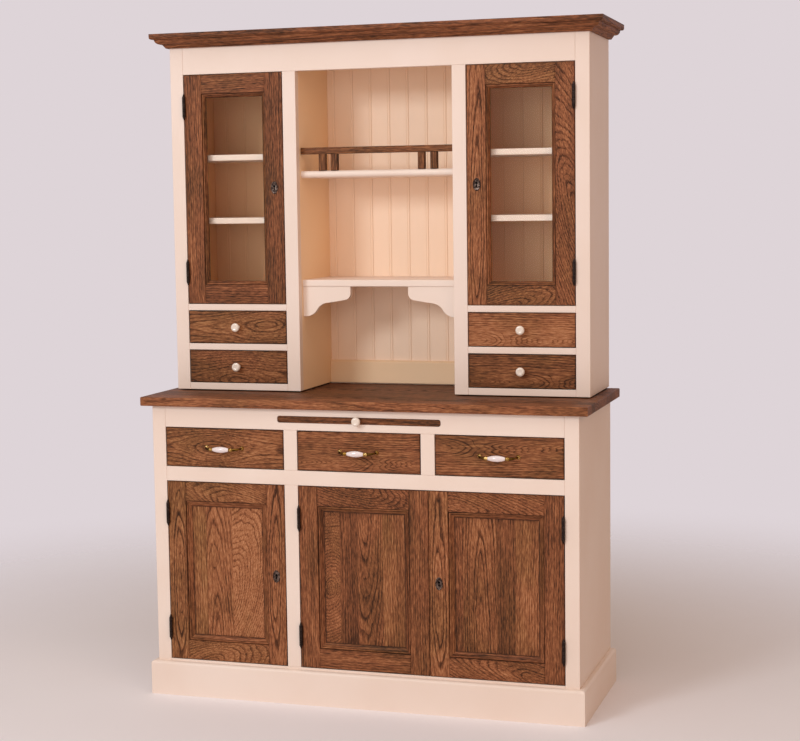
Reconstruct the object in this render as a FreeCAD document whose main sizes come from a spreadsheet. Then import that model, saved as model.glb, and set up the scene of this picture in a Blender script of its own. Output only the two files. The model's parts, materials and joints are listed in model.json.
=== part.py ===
import FreeCAD, Part
import math
import os
import Sketcher

# A two-part dresser: a base with three drawers, a pull-out board and three cupboard doors, and a
# hutch with two glazed towers, four small drawers and an open bay between them.
# Frame: +X to the right, +Y to the back, +Z up; the origin is the middle of the footprint on the floor.

SIZES = {
    # Base case
    "case_width": 1310.0,
    "case_depth": 478.0,
    "worktop_height": 914.0,
    "worktop_thickness": 27.0,
    "worktop_overhang_front": 22.0,
    "worktop_overhang_side": 29.0,
    "worktop_edge_radius": 3.0,
    "side_thickness": 18.0,
    "back_thickness": 9.0,
    "floor_thickness": 15.0,
    "deck_thickness": 12.0,
    # Face frames
    "frame_thickness": 22.0,
    "stile_width": 42.0,
    "top_rail_height": 64.0,
    "middle_rail_height": 44.0,
    "bottom_rail_height": 50.0,
    "door_sill_height": 109.5,
    "drawer_opening_height": 120.0,
    # Pull-out board
    "board_slot_width": 502.0,
    "board_slot_height": 20.0,
    "board_slot_drop": 22.0,
    "board_slot_rounding": 7.0,
    "board_clearance": 1.0,
    "board_back_clearance": 70.0,
    # Plinth
    "plinth_height": 103.0,
    "plinth_projection": 17.5,
    "plinth_rounding": 9.0,
    # Hutch
    "hutch_inset": 3.5,
    "hutch_setback": 182.0,
    "hutch_lift": 4.0,
    "hutch_bottom_rail_height": 21.0,
    "small_drawer_opening_height": 102.5,
    "tower_rail_height": 19.5,
    "glass_door_opening_height": 701.0,
    "frieze_height": 81.0,
    "tower_opening_width": 324.0,
    "back_board_thickness": 10.0,
    "back_board_pitch": 61.0,
    "back_board_gap": 0.6,
    "pad_length": 60.0,
    "pad_inset": 30.0,
    # Cornice
    "cornice_height": 42.0,
    "cornice_projection": 47.0,
    "cornice_cover": 30.0,
    "cornice_foot": 8.5,
    "cornice_step_out": 20.0,
    "cornice_step_height": 11.5,
    "cornice_ovolo_radius": 14.0,
    "cornice_quirk": 2.0,
    "cornice_quirk_width": 6.0,
    "cornice_fascia_height": 10.5,
    "cornice_fascia_rounding": 6.0,
    # Shelves
    "shelf_thickness": 18.0,
    "shelf_setback": 34.0,
    "base_shelf_rise": 275.5,
    "tower_low_shelf_rise": 246.0,
    "tower_high_shelf_rise": 439.0,
    "bay_low_shelf_rise": 318.0,
    "bay_low_shelf_thickness": 20.0,
    "bay_low_shelf_rounding": 3.0,
    "bay_high_shelf_rise": 647.0,
    "bay_high_shelf_thickness": 21.0,
    "bay_high_shelf_rounding": 10.0,
    # Plate gallery on the upper bay shelf
    "gallery_rail_height": 20.0,
    "gallery_rail_depth": 18.0,
    "gallery_clear_height": 50.0,
    "spindle_width": 21.0,
    "spindle_gap": 17.5,
    "spindle_inset": 57.5,
    # Scalloped brackets and ledge in the bay
    "bracket_width": 152.0,
    "bracket_height": 91.0,
    "bracket_end_height": 20.0,
    "bracket_waist_height": 49.5,
    "bracket_lobe_radius": 21.0,
    "bracket_foot_width": 8.0,
    "bracket_scallop_width": 72.0,
    "bracket_thickness": 18.0,
    "ledge_height": 72.0,
    "ledge_thickness": 12.0,
    "ledge_chamfer": 6.0,
    # Doors
    "door_gap": 2.0,
    "door_thickness": 22.0,
    "base_door_stile_width": 58.0,
    "glass_door_stile_width": 57.0,
    "panel_bead_width": 18.0,
    "panel_bead_chamfer": 9.0,
    "glass_bead_width": 12.0,
    "glass_bead_chamfer": 7.0,
    "bead_drop": 3.0,
    "panel_recess": 13.0,
    "panel_thickness": 7.0,
    "glass_thickness": 4.0,
    # Hinges
    "hinge_inset": 98.0,
    "hinge_axis_offset": 2.5,
    "hinge_barrel_radius": 5.0,
    "hinge_barrel_clearance": 0.5,
    "hinge_knuckle_length": 20.0,
    "hinge_leaf_length": 60.0,
    "hinge_leaf_depth": 18.0,
    "hinge_leaf_thickness": 0.8,
    "hinge_pin_radius": 2.0,
    "hinge_finial_length": 10.0,
    "hinge_pin_clearance": 0.05,
    "hinge_knuckle_gap": 0.3,
    # Locks
    "escutcheon_width": 23.0,
    "escutcheon_height": 38.0,
    "escutcheon_rounding": 11.0,
    "escutcheon_thickness": 2.0,
    "keyhole_radius": 3.8,
    "keyhole_slot_width": 4.0,
    "keyhole_slot_length": 12.0,
    "lock_width": 38.0,
    "lock_height": 56.0,
    "lock_depth": 12.0,
    "left_lock_rise": 276.0,
    "right_lock_rise": 281.0,
    "glass_lock_rise": 358.0,
    "key_inset": 29.0,
    # Drawers
    "drawer_front_thickness": 20.0,
    "drawer_board_thickness": 12.0,
    "drawer_bottom_thickness": 6.0,
    "drawer_bottom_lift": 7.0,
    "drawer_head_room": 18.0,
    "drawer_side_inset": 1.5,
    "drawer_back_clearance": 40.0,
    "running_gap": 0.3,
    "guide_height": 22.0,
    "kicker_height": 12.0,
    # Handles and knobs
    "handle_reach": 37.0,
    "handle_half_span": 57.0,
    "handle_foot_radius": 6.8,
    "handle_neck_radius": 2.4,
    "handle_arm_radius": 4.4,
    "handle_bead_radius": 6.0,
    "handle_drop": 2.0,
    "grip_length": 54.0,
    "grip_radius": 9.0,
    "grip_end_radius": 5.2,
    "knob_radius": 13.5,
    "knob_length": 24.0,
    "knob_neck_radius": 7.0,
    "knob_foot_radius": 9.5,
    "knob_foot_length": 3.0,
    "knob_head_rise": 8.0,
}

doc = FreeCAD.newDocument("dresser")
sheet = doc.addObject("Spreadsheet::Sheet", "sizes")
for row, (size_name, size_value) in enumerate(SIZES.items(), start=1):
    sheet.set(f"A{row}", size_name)
    sheet.set(f"B{row}", str(size_value))
    sheet.setAlias(f"B{row}", size_name)
doc.recompute()


class Length:
    """A number of millimetres with the sheet expression that gives it."""

    def __init__(self, value, text):
        self.value = float(value)
        self.text = text

    def __add__(self, other):
        other = length(other)
        return Length(self.value + other.value, f"({self.text} + {other.text})")

    def __sub__(self, other):
        other = length(other)
        return Length(self.value - other.value, f"({self.text} - {other.text})")

    def __rsub__(self, other):
        return length(other) - self

    def __mul__(self, factor):
        return Length(self.value * factor, f"({self.text} * {factor})")

    def __truediv__(self, factor):
        return Length(self.value / factor, f"({self.text} / {factor})")

    def __neg__(self):
        return Length(-self.value, f"(0 - {self.text})")

    __radd__ = __add__
    __rmul__ = __mul__


def length(number):
    """A plain number as a Length, and a Length as it is."""
    return number if isinstance(number, Length) else Length(number, str(number))


def larger(first, second):
    return Length(max(first.value, second.value), f"max({first.text}; {second.text})")


class Sizes:
    """The sheet's cells by name."""

    def __getattr__(self, name):
        return Length(sheet.get(name), f"sizes.{name}")


s = Sizes()
sides = ((-1, "left"), (1, "right"))

# ---------------------------------------------------------------- places worked out from the sizes

reach = larger(s.handle_reach, s.worktop_overhang_front)
base_front = (reach - s.case_depth) / 2
case_back = (reach + s.case_depth) / 2
frame_back = base_front + s.frame_thickness
base_half = s.case_width / 2
base_inside = base_half - s.side_thickness
base_top = s.worktop_height - s.worktop_thickness
back_panel_front = case_back - s.back_thickness

drawer_opening_width = (s.case_width - s.stile_width * 4) / 3
post_outer = base_half - s.stile_width - drawer_opening_width
post_inner = post_outer - s.stile_width
post_middle = (post_outer + post_inner) / 2
drawer_opening_top = base_top - s.top_rail_height
drawer_opening_bottom = drawer_opening_top - s.drawer_opening_height
door_opening_top = drawer_opening_bottom - s.middle_rail_height
door_opening_bottom = s.door_sill_height
board_slot_top = base_top - s.board_slot_drop
board_slot_bottom = board_slot_top - s.board_slot_height
partition_inner = post_middle - s.side_thickness / 2
partition_outer = post_middle + s.side_thickness / 2

hutch_front = base_front + s.hutch_setback
hutch_frame_back = hutch_front + s.frame_thickness
hutch_half = base_half - s.hutch_inset
hutch_inside = hutch_half - s.side_thickness
hutch_bottom = s.worktop_height + s.hutch_lift
boards_front = case_back - s.back_board_thickness
tower_outer = hutch_half - s.stile_width
tower_inner = tower_outer - s.tower_opening_width
bay_half = tower_inner - s.stile_width
divider_outer = bay_half + s.side_thickness
low_drawer_bottom = hutch_bottom + s.hutch_bottom_rail_height
low_drawer_top = low_drawer_bottom + s.small_drawer_opening_height
high_drawer_bottom = low_drawer_top + s.tower_rail_height
high_drawer_top = high_drawer_bottom + s.small_drawer_opening_height
glass_door_bottom = high_drawer_top + s.tower_rail_height
glass_door_top = glass_door_bottom + s.glass_door_opening_height
cornice_bottom = glass_door_top + s.frieze_height
hutch_top = cornice_bottom + s.cornice_cover
shelf_front = hutch_front + s.shelf_setback
hinge_axis_reach = s.hinge_barrel_radius + s.hinge_barrel_clearance
base_shelf_bottom = door_opening_bottom + s.base_shelf_rise
bay_low_shelf_bottom = hutch_bottom + s.bay_low_shelf_rise
bay_high_shelf_bottom = hutch_bottom + s.bay_high_shelf_rise


# ---------------------------------------------------------------- ways of making a piece

def place(item, x, y, z):
    """Bind where an item stands."""
    for axis, distance in zip("xyz", (x, y, z)):
        item.setExpression(f"Placement.Base.{axis}", length(distance).text)


def board(name, x, y, z):
    """A squared board given by its two faces along each axis."""
    box = doc.addObject("Part::Box", name)
    box.Label = name
    for size, (low, high) in zip(("Length", "Width", "Height"), (x, y, z)):
        box.setExpression(size, (high - low).text)
    place(box, x[0], y[0], z[0])
    return box


def across(side, inner, outer):
    """The two X faces of a piece on one side of the middle, lowest first."""
    return (length(inner), length(outer)) if side > 0 else (-length(outer), -length(inner))


def gather(name, solids):
    """One sub-part made of several separate solids."""
    group = doc.addObject("Part::Compound", name)
    group.Label = name
    group.Links = solids
    return group


def combine(kind, name, base, tool):
    """A Part boolean of two items: Part::Cut or Part::Fuse."""
    result = doc.addObject(kind, name)
    result.Label = name
    result.Base = base
    result.Tool = tool
    return result


def mirrored(name, source):
    """A piece's opposite hand across the middle of the dresser."""
    copy = doc.addObject("Part::Mirroring", name)
    copy.Label = name
    copy.Source = source
    copy.Normal = FreeCAD.Vector(1, 0, 0)
    return copy


def new_body(name):
    body = doc.addObject("PartDesign::Body", name)
    body.Label = name
    return body


def arc_between(start, end, radius, turn):
    """A circle arc from start to end, turning left (1) or right (-1)."""
    chord = end - start
    rise = math.sqrt(max(radius ** 2 - (chord.Length / 2) ** 2, 0.0))
    left = FreeCAD.Vector(-chord.y, chord.x, 0).normalize()
    centre = (start + end) / 2 + left * rise * turn
    first, last = (start, end) if turn > 0 else (end, start)
    angles = [math.atan2(point.y - centre.y, point.x - centre.x) for point in (first, last)]
    if angles[1] <= angles[0]:
        angles[1] += 2 * math.pi
    circle = Part.Circle(centre, FreeCAD.Vector(0, 0, 1), radius)
    return Part.ArcOfCircle(circle, *angles)


def sketch_on(body, name, plane_role, outlines):
    """A fully constrained sketch on one of the body's own planes.

    Each outline is a closed list of corners (u, v), or (u, v, radius, turn) where an arc leaves it.
    """
    sketch = body.newObject("Sketcher::SketchObject", name)
    plane = next(item for item in body.Origin.OriginFeatures if item.Role == plane_role)
    sketch.AttachmentSupport = [(plane, "")]
    sketch.MapMode = "FlatFace"
    for corners in outlines:
        points = [FreeCAD.Vector(length(c[0]).value, length(c[1]).value, 0) for c in corners]
        ends = []
        for index, corner in enumerate(corners):
            start, end = points[index], points[(index + 1) % len(points)]
            if len(corner) == 4:
                edge = sketch.addGeometry(arc_between(start, end, corner[2].value, corner[3]), False)
                ends.append((edge, 1, 2) if corner[3] > 0 else (edge, 2, 1))
                radius = sketch.addConstraint(Sketcher.Constraint("Radius", edge, corner[2].value))
                sketch.setExpression(f"Constraints[{radius}]", corner[2].text)
            else:
                edge = sketch.addGeometry(Part.LineSegment(start, end), False)
                ends.append((edge, 1, 2))
        for index, (edge, start, end) in enumerate(ends):
            following = ends[(index + 1) % len(ends)]
            sketch.addConstraint(Sketcher.Constraint("Coincident", edge, end, following[0], following[1]))
            for kind, distance in zip(("DistanceX", "DistanceY"), corners[index][:2]):
                distance = length(distance)
                pin = sketch.addConstraint(Sketcher.Constraint(kind, -1, 1, edge, start, distance.value))
                sketch.setExpression(f"Constraints[{pin}]", distance.text)
    return sketch


def pad(body, sketch, depth, backwards=False):
    feature = body.newObject("PartDesign::Pad", f"{body.Name}_pad")
    feature.Profile = sketch
    feature.Reversed = backwards
    feature.setExpression("Length", depth.text)
    return feature


def cut_upwards(body, sketch):
    """Take away everything above an outline on the body's XY plane."""
    feature = body.newObject("PartDesign::Pocket", f"{body.Name}_mitre")
    feature.Profile = sketch
    feature.Type = "ThroughAll"
    feature.Reversed = True
    return feature


def dress(body, kind, base, wanted, size):
    """Fillet or chamfer the base feature's edges that the wanted test picks."""
    doc.recompute()
    names = [f"Edge{number}" for number, edge in enumerate(base.Shape.Edges, start=1) if wanted(edge)]
    feature = body.newObject(f"PartDesign::{kind}", f"{body.Name}_{kind.lower()}")
    feature.Base = (base, names)
    feature.setExpression("Radius" if kind == "Fillet" else "Size", size.text)
    return feature


def turned(name, corners):
    """A turned piece: its half outline is (radius, height along the axis)."""
    body = new_body(name)
    sketch = sketch_on(body, f"{name}_outline", "XZ_Plane", [corners])
    spin = body.newObject("PartDesign::Revolution", f"{name}_turning")
    spin.Profile = sketch
    spin.ReferenceAxis = (sketch, ["V_Axis"])
    spin.Angle = 360.0
    return body


def rectangle(low, high):
    """The corners of a rectangle from its low and high (u, v) corners."""
    return [(low[0], low[1]), (high[0], low[1]), (high[0], high[1]), (low[0], high[1])]


def rounded_rectangle(low, high, radius):
    """A rectangle with its corners rounded, anticlockwise."""
    return [
        (low[0] + radius, low[1]), (high[0] - radius, low[1], radius, 1),
        (high[0], low[1] + radius), (high[0], high[1] - radius, radius, 1),
        (high[0] - radius, high[1]), (low[0] + radius, high[1], radius, 1),
        (low[0], high[1] - radius), (low[0], low[1] + radius, radius, 1),
    ]


def face_to_front(item):
    """Turn an item made along +Z to stand along -Y."""
    item.Placement.Rotation = FreeCAD.Rotation(FreeCAD.Vector(1, 0, 0), 90)


# ---------------------------------------------------------------- base case

def make_base_case():
    inner_depth = (frame_back, back_panel_front)
    gather("base_sides", [
        board(f"base_side_{hand}", across(side, base_inside, base_half), (frame_back, case_back),
              (length(0), base_top))
        for side, hand in sides])
    floor_bottom = door_opening_bottom - s.floor_thickness
    board("base_back", (-base_inside, base_inside), (back_panel_front, case_back), (floor_bottom, base_top))

    deck_bottom = drawer_opening_bottom - s.deck_thickness
    gather("base_partitions", [
        board("cupboard_partition", across(-1, partition_inner, partition_outer), inner_depth,
              (door_opening_bottom, board_slot_bottom)),
        board("drawer_partition", across(1, partition_inner, partition_outer), inner_depth,
              (drawer_opening_bottom, board_slot_bottom))])
    gather("base_decks", [
        board("base_deck_left", (-base_inside, -partition_outer), inner_depth,
              (deck_bottom, drawer_opening_bottom)),
        board("base_deck_right", (-partition_inner, base_inside), inner_depth,
              (deck_bottom, drawer_opening_bottom))])

    shelf_depth = (frame_back + s.shelf_setback, back_panel_front)
    shelf_height = (base_shelf_bottom, base_shelf_bottom + s.shelf_thickness)
    gather("base_floor_and_shelves", [
        board("base_floor", (-base_inside, base_inside), inner_depth, (floor_bottom, door_opening_bottom)),
        board("base_shelf_left", (-base_inside, -partition_outer), shelf_depth, shelf_height),
        board("base_shelf_right", (-partition_inner, base_inside), shelf_depth, shelf_height)])
    make_base_guides(inner_depth)


def make_base_guides(inner_depth):
    """Strips that guide the drawers, keep them level and carry the pull-out board."""
    guide_height = (drawer_opening_bottom, drawer_opening_bottom + s.guide_height)
    kicker_height = (drawer_opening_top, drawer_opening_top + s.kicker_height)
    outer_edge = base_half - s.stile_width
    strips = []
    for side, hand in sides:
        places = (("outer", outer_edge, base_inside), ("post_outer", partition_outer, post_outer),
                  ("post_inner", post_inner, partition_inner))
        for place_name, low, high in places:
            for kind, height in (("guide", guide_height), ("kicker", kicker_height)):
                strips.append(board(f"{kind}_{place_name}_{hand}", across(side, low, high),
                                    inner_depth, height))
        slot_edge = s.board_slot_width / 2
        strips.append(board(f"board_guide_{hand}", across(side, slot_edge, slot_edge + s.side_thickness),
                            inner_depth, (board_slot_bottom, base_top)))
        strips.append(board(f"board_keeper_{hand}", across(side, slot_edge - s.side_thickness, slot_edge),
                            inner_depth, (board_slot_top, base_top)))
        strips.append(board(f"board_bearer_{hand}",
                            across(side, partition_outer, slot_edge + s.side_thickness), inner_depth,
                            (drawer_opening_top + s.kicker_height, board_slot_bottom)))
    gather("base_guides", strips)


def make_base_frame():
    """The face frame: stiles, drawer posts, one door post and rails, flush at the front."""
    depth = (base_front, frame_back)
    uprights = [board(f"base_stile_{hand}", across(side, base_half - s.stile_width, base_half), depth,
                      (length(0), base_top)) for side, hand in sides]
    uprights += [board(f"drawer_post_{hand}", across(side, post_inner, post_outer), depth,
                       (drawer_opening_bottom, drawer_opening_top)) for side, hand in sides]
    uprights.append(board("door_post", across(-1, post_inner, post_outer), depth,
                          (door_opening_bottom, door_opening_top)))
    gather("base_frame_uprights", uprights)

    span = base_half - s.stile_width
    rail = new_body("base_top_rail")
    slot_low = (-s.board_slot_width / 2, board_slot_bottom)
    slot_high = (s.board_slot_width / 2, board_slot_top)
    outline = sketch_on(rail, "top_rail_outline", "XZ_Plane", [
        rectangle((-span, drawer_opening_top), (span, base_top)),
        rounded_rectangle(slot_low, slot_high, s.board_slot_rounding)])
    pad(rail, outline, s.frame_thickness, backwards=True)
    place(rail, 0, base_front, 0)

    gather("base_frame_rails", [
        board("middle_rail", (-span, span), depth, (door_opening_top, drawer_opening_bottom)),
        board("bottom_rail", (-span, span), depth,
              (door_opening_bottom - s.bottom_rail_height, door_opening_bottom))])


def mitred_run(name, profile, run, projection):
    """A moulding along the front, mitred at both ends; profile is (distance behind the front, height)."""
    body = new_body(name)
    pad(body, sketch_on(body, f"{name}_profile", "YZ_Plane", [profile]), run)
    over = projection / 4
    left = [(-over, -projection - over), (projection + over, over), (-over, over)]
    right = [(run + over, -projection - over), (run + over, over), (run - projection - over, over)]
    cut_upwards(body, sketch_on(body, f"{name}_mitres", "XY_Plane", [left, right]))
    return body


def mitred_return(name, profile, run, projection):
    """A moulding along the left side, mitred at its front end; its body stands at the front corner."""
    body = new_body(name)
    pad(body, sketch_on(body, f"{name}_profile", "XZ_Plane", [profile]), run, backwards=True)
    over = projection / 4
    mitre = [(-projection - over, -over), (over, -over), (over, projection + over)]
    cut_upwards(body, sketch_on(body, f"{name}_mitre", "XY_Plane", [mitre]))
    return body


def make_plinth():
    round_start = s.plinth_height - s.plinth_rounding
    shoulder = -s.plinth_projection + s.plinth_rounding
    profile = [(0, 0), (0, s.plinth_height), (shoulder, s.plinth_height, s.plinth_rounding, 1),
               (-s.plinth_projection, round_start), (-s.plinth_projection, 0)]
    run = s.case_width + s.plinth_projection * 2
    front = mitred_run("plinth_front", profile, run, s.plinth_projection)
    place(front, -run / 2, base_front, 0)
    left = mitred_return("plinth_left", profile, s.case_depth + s.plinth_projection, s.plinth_projection)
    place(left, -base_half, base_front - s.plinth_projection, 0)
    gather("plinth", [front, left, mirrored("plinth_right", left)])


def make_worktop():
    width = s.case_width + s.worktop_overhang_side * 2
    depth = s.case_depth + s.worktop_overhang_front
    body = new_body("worktop")
    slab = pad(body, sketch_on(body, "worktop_outline", "XY_Plane", [
        rectangle((-width / 2, length(0)), (width / 2, depth))]), s.worktop_thickness)
    dress(body, "Fillet", slab, lambda edge: edge.CenterOfMass.y < depth.value - 1.0
          and abs(edge.Vertexes[0].Z - edge.Vertexes[1].Z) < 1e-6, s.worktop_edge_radius)
    place(body, 0, base_front - s.worktop_overhang_front, base_top)


# ---------------------------------------------------------------- hutch case

def make_hutch_case():
    inner_depth = (hutch_frame_back, boards_front)
    gather("hutch_sides", [
        board(f"hutch_side_{hand}", across(side, hutch_inside, hutch_half), (hutch_frame_back, case_back),
              (hutch_bottom, hutch_top))
        for side, hand in sides])
    under_top = hutch_top - s.side_thickness
    gather("hutch_dividers", [
        board(f"hutch_divider_{hand}", across(side, bay_half, divider_outer), inner_depth,
              (hutch_bottom, under_top))
        for side, hand in sides])
    board("hutch_top", (-hutch_inside, hutch_inside), inner_depth, (under_top, hutch_top))

    decks, guides = [], []
    for side, hand in sides:
        tower = across(side, divider_outer, hutch_inside)
        for level, height in (("low", low_drawer_bottom), ("middle", high_drawer_bottom),
                              ("high", glass_door_bottom)):
            decks.append(board(f"{level}_deck_{hand}", tower, inner_depth,
                               (height - s.deck_thickness, height)))
        for level, height in (("low", low_drawer_bottom), ("high", high_drawer_bottom)):
            for edge, low, high in (("inner", divider_outer, tower_inner),
                                    ("outer", tower_outer, hutch_inside)):
                guides.append(board(f"{level}_{edge}_guide_{hand}", across(side, low, high), inner_depth,
                                    (height, height + s.guide_height)))
    gather("hutch_drawer_decks", decks + guides)
    make_back_boards()
    make_hutch_frame()
    make_pads()


def make_back_boards():
    """Tongued and grooved boards laid from the right; the last one is ripped to fit."""
    inside_width = hutch_inside * 2
    count = math.ceil(inside_width.value / s.back_board_pitch.value)
    boards = []
    for index in range(count):
        right = hutch_inside - s.back_board_pitch * index
        left = right - s.back_board_pitch + s.back_board_gap if index < count - 1 else -hutch_inside
        boards.append(board(f"back_board_{index + 1}", (left, right), (boards_front, case_back),
                            (hutch_bottom, hutch_top)))
    gather("hutch_back_boards", boards)


def make_hutch_frame():
    depth = (hutch_front, hutch_frame_back)
    uprights = []
    for side, hand in sides:
        uprights.append(board(f"hutch_outer_stile_{hand}", across(side, tower_outer, hutch_half), depth,
                              (hutch_bottom, hutch_top)))
        uprights.append(board(f"hutch_inner_stile_{hand}", across(side, bay_half, tower_inner), depth,
                              (hutch_bottom, glass_door_top)))
    gather("hutch_frame_uprights", uprights)

    rails = [board("frieze_rail", (-tower_outer, tower_outer), depth, (glass_door_top, hutch_top))]
    for side, hand in sides:
        opening = across(side, tower_inner, tower_outer)
        for name, low, high in (("bottom", hutch_bottom, low_drawer_bottom),
                                ("drawer", low_drawer_top, high_drawer_bottom),
                                ("door", high_drawer_top, glass_door_bottom)):
            rails.append(board(f"hutch_{name}_rail_{hand}", opening, depth, (low, high)))
    gather("hutch_frame_rails", rails)


def make_pads():
    """Small pads that carry the hutch just above the worktop."""
    height = (s.worktop_height, hutch_bottom)
    front = hutch_frame_back + s.pad_inset
    back = boards_front - s.pad_inset
    pads = []
    for side, hand in sides:
        for name, low, high in (("side", hutch_inside, hutch_half), ("divider", bay_half, divider_outer)):
            pads.append(board(f"front_{name}_pad_{hand}", across(side, low, high),
                              (front, front + s.pad_length), height))
            pads.append(board(f"back_{name}_pad_{hand}", across(side, low, high),
                              (back - s.pad_length, back), height))
    gather("hutch_pads", pads)


def make_shelves():
    depth = (shelf_front, boards_front)
    gather("tower_shelves", [
        board(f"tower_shelf_{level}_{hand}", across(side, divider_outer, hutch_inside), depth,
              (glass_door_bottom + rise, glass_door_bottom + rise + s.shelf_thickness))
        for side, hand in sides
        for level, rise in (("low", s.tower_low_shelf_rise), ("high", s.tower_high_shelf_rise))])
    shelves = []
    for name, height, thickness, rounding in (
            ("bay_upper_shelf", bay_high_shelf_bottom, s.bay_high_shelf_thickness,
             s.bay_high_shelf_rounding),
            ("bay_lower_shelf", bay_low_shelf_bottom, s.bay_low_shelf_thickness,
             s.bay_low_shelf_rounding)):
        body = new_body(name)
        slab = pad(body, sketch_on(body, f"{name}_outline", "XY_Plane", [
            rectangle((-bay_half, length(0)), (bay_half, boards_front - shelf_front))]), thickness)
        dress(body, "Fillet", slab, lambda edge: abs(edge.CenterOfMass.y) < 1e-6
              and abs(edge.CenterOfMass.x) < 1.0, rounding)
        place(body, 0, shelf_front, height)
        shelves.append(body)
    gather("bay_shelves", shelves)


def make_gallery():
    """A rail on four square spindles along the front of the upper bay shelf."""
    front = shelf_front + s.bay_high_shelf_rounding / 4
    depth = (front, front + s.gallery_rail_depth)
    foot = bay_high_shelf_bottom + s.bay_high_shelf_thickness
    rail_bottom = foot + s.gallery_clear_height
    pieces = [board("gallery_rail", (-bay_half, bay_half), depth,
                    (rail_bottom, rail_bottom + s.gallery_rail_height))]
    outer_end = bay_half - s.spindle_inset
    inner_end = outer_end - s.spindle_width - s.spindle_gap
    for side, hand in sides:
        for name, end in (("inner", inner_end), ("outer", outer_end)):
            pieces.append(board(f"{name}_spindle_{hand}", across(side, end - s.spindle_width, end),
                                depth, (foot, rail_bottom)))
    gather("plate_gallery", pieces)


def arc_radius(width, rise):
    """The radius of an arc that starts level and then moves on by width and up by rise."""
    value = (width.value ** 2 + rise.value ** 2) / (2 * rise.value)
    return Length(value, f"(({width.text})^2 + ({rise.text})^2) / (2 * {rise.text})")


def make_brackets():
    """Scalloped brackets under the lower bay shelf, one against each divider.

    The lobe at the free end meets the waist's slope at 8.5 degrees.
    """
    half_width = s.bracket_scallop_width / 2
    half_rise = (s.bracket_height - s.bracket_waist_height) / 2
    bend = arc_radius(half_width, half_rise)
    lobe, slope = s.bracket_lobe_radius, math.radians(8.5)
    foot_end = s.bracket_foot_width
    profile = [
        (0, 0), (0, -s.bracket_height),
        (foot_end, -s.bracket_height, bend, 1),
        (foot_end + half_width, half_rise - s.bracket_height, bend, -1),
        (foot_end + half_width * 2, -s.bracket_waist_height),
        (s.bracket_width - lobe * (1 - math.sin(slope)),
         -s.bracket_end_height - lobe * math.cos(slope), lobe, 1),
        (s.bracket_width, -s.bracket_end_height),
        (s.bracket_width, 0),
    ]
    body = new_body("bracket_left")
    pad(body, sketch_on(body, "bracket_outline", "XZ_Plane", [profile]), s.bracket_thickness,
        backwards=True)
    place(body, -bay_half, shelf_front + s.bay_low_shelf_rounding, bay_low_shelf_bottom)
    gather("shelf_brackets", [body, mirrored("bracket_right", body)])


def make_ledge():
    """The skirting strip at the foot of the bay's back boards, its top edge chamfered."""
    body = new_body("bay_ledge")
    front = -s.ledge_thickness
    profile = [(0, 0), (0, s.ledge_height), (front + s.ledge_chamfer, s.ledge_height),
               (front, s.ledge_height - s.ledge_chamfer), (front, 0)]
    pad(body, sketch_on(body, "ledge_profile", "YZ_Plane", [profile]), bay_half * 2)
    place(body, -bay_half, boards_front, hutch_bottom)


def make_cornice():
    """A stepped moulding round the front and sides: foot, step, ovolo, quirk and fascia."""
    out = s.cornice_projection
    fascia_bottom = s.cornice_height - s.cornice_fascia_height
    quirk_top = fascia_bottom - s.cornice_fascia_rounding
    ovolo_top = quirk_top - s.cornice_quirk
    ovolo_out = out - s.cornice_fascia_rounding - s.cornice_quirk_width
    profile = [
        (0, 0), (0, s.cornice_height), (-out, s.cornice_height),
        (-out, fascia_bottom, s.cornice_fascia_rounding, 1),
        (s.cornice_fascia_rounding - out, quirk_top),
        (-ovolo_out, quirk_top),
        (-ovolo_out, ovolo_top, s.cornice_ovolo_radius, 1),
        (-s.cornice_step_out, s.cornice_step_height),
        (-s.cornice_foot * 2, s.cornice_step_height),
        (-s.cornice_foot, 0),
    ]
    run = hutch_half * 2 + out * 2
    front = mitred_run("cornice_front", profile, run, out)
    place(front, -run / 2, hutch_front, cornice_bottom)
    left = mitred_return("cornice_left", profile, case_back - hutch_front + out, out)
    place(left, -hutch_half, hutch_front - out, cornice_bottom)
    gather("cornice", [front, left, mirrored("cornice_right", left)])


# ---------------------------------------------------------------- doors

def keyhole_cutter(name, x, front, z):
    """A round hole over a slot, through a door's stile and escutcheon."""
    depth = s.door_thickness + s.escutcheon_thickness
    hole = doc.addObject("Part::Cylinder", f"{name}_hole")
    hole.setExpression("Radius", s.keyhole_radius.text)
    hole.setExpression("Height", depth.text)
    face_to_front(hole)
    place(hole, x, front + s.door_thickness, z)
    half_slot = s.keyhole_slot_width / 2
    slot = board(f"{name}_slot", (x - half_slot, x + half_slot),
                 (front - s.escutcheon_thickness, front + s.door_thickness),
                 (z - s.keyhole_slot_length, z))
    return combine("Part::Fuse", f"{name}_keyhole", hole, slot)


def make_escutcheon(name, x, front, z):
    """The oval plate round a keyhole, before the keyhole is cut."""
    half_width, half_height = s.escutcheon_width / 2, s.escutcheon_height / 2
    body = new_body(name)
    pad(body, sketch_on(body, f"{name}_outline", "XZ_Plane", [
        rounded_rectangle((-half_width, -half_height), (half_width, half_height), s.escutcheon_rounding)]),
        s.escutcheon_thickness)
    place(body, x, front, z - (s.keyhole_slot_length - s.keyhole_radius) / 2)
    return body


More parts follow.
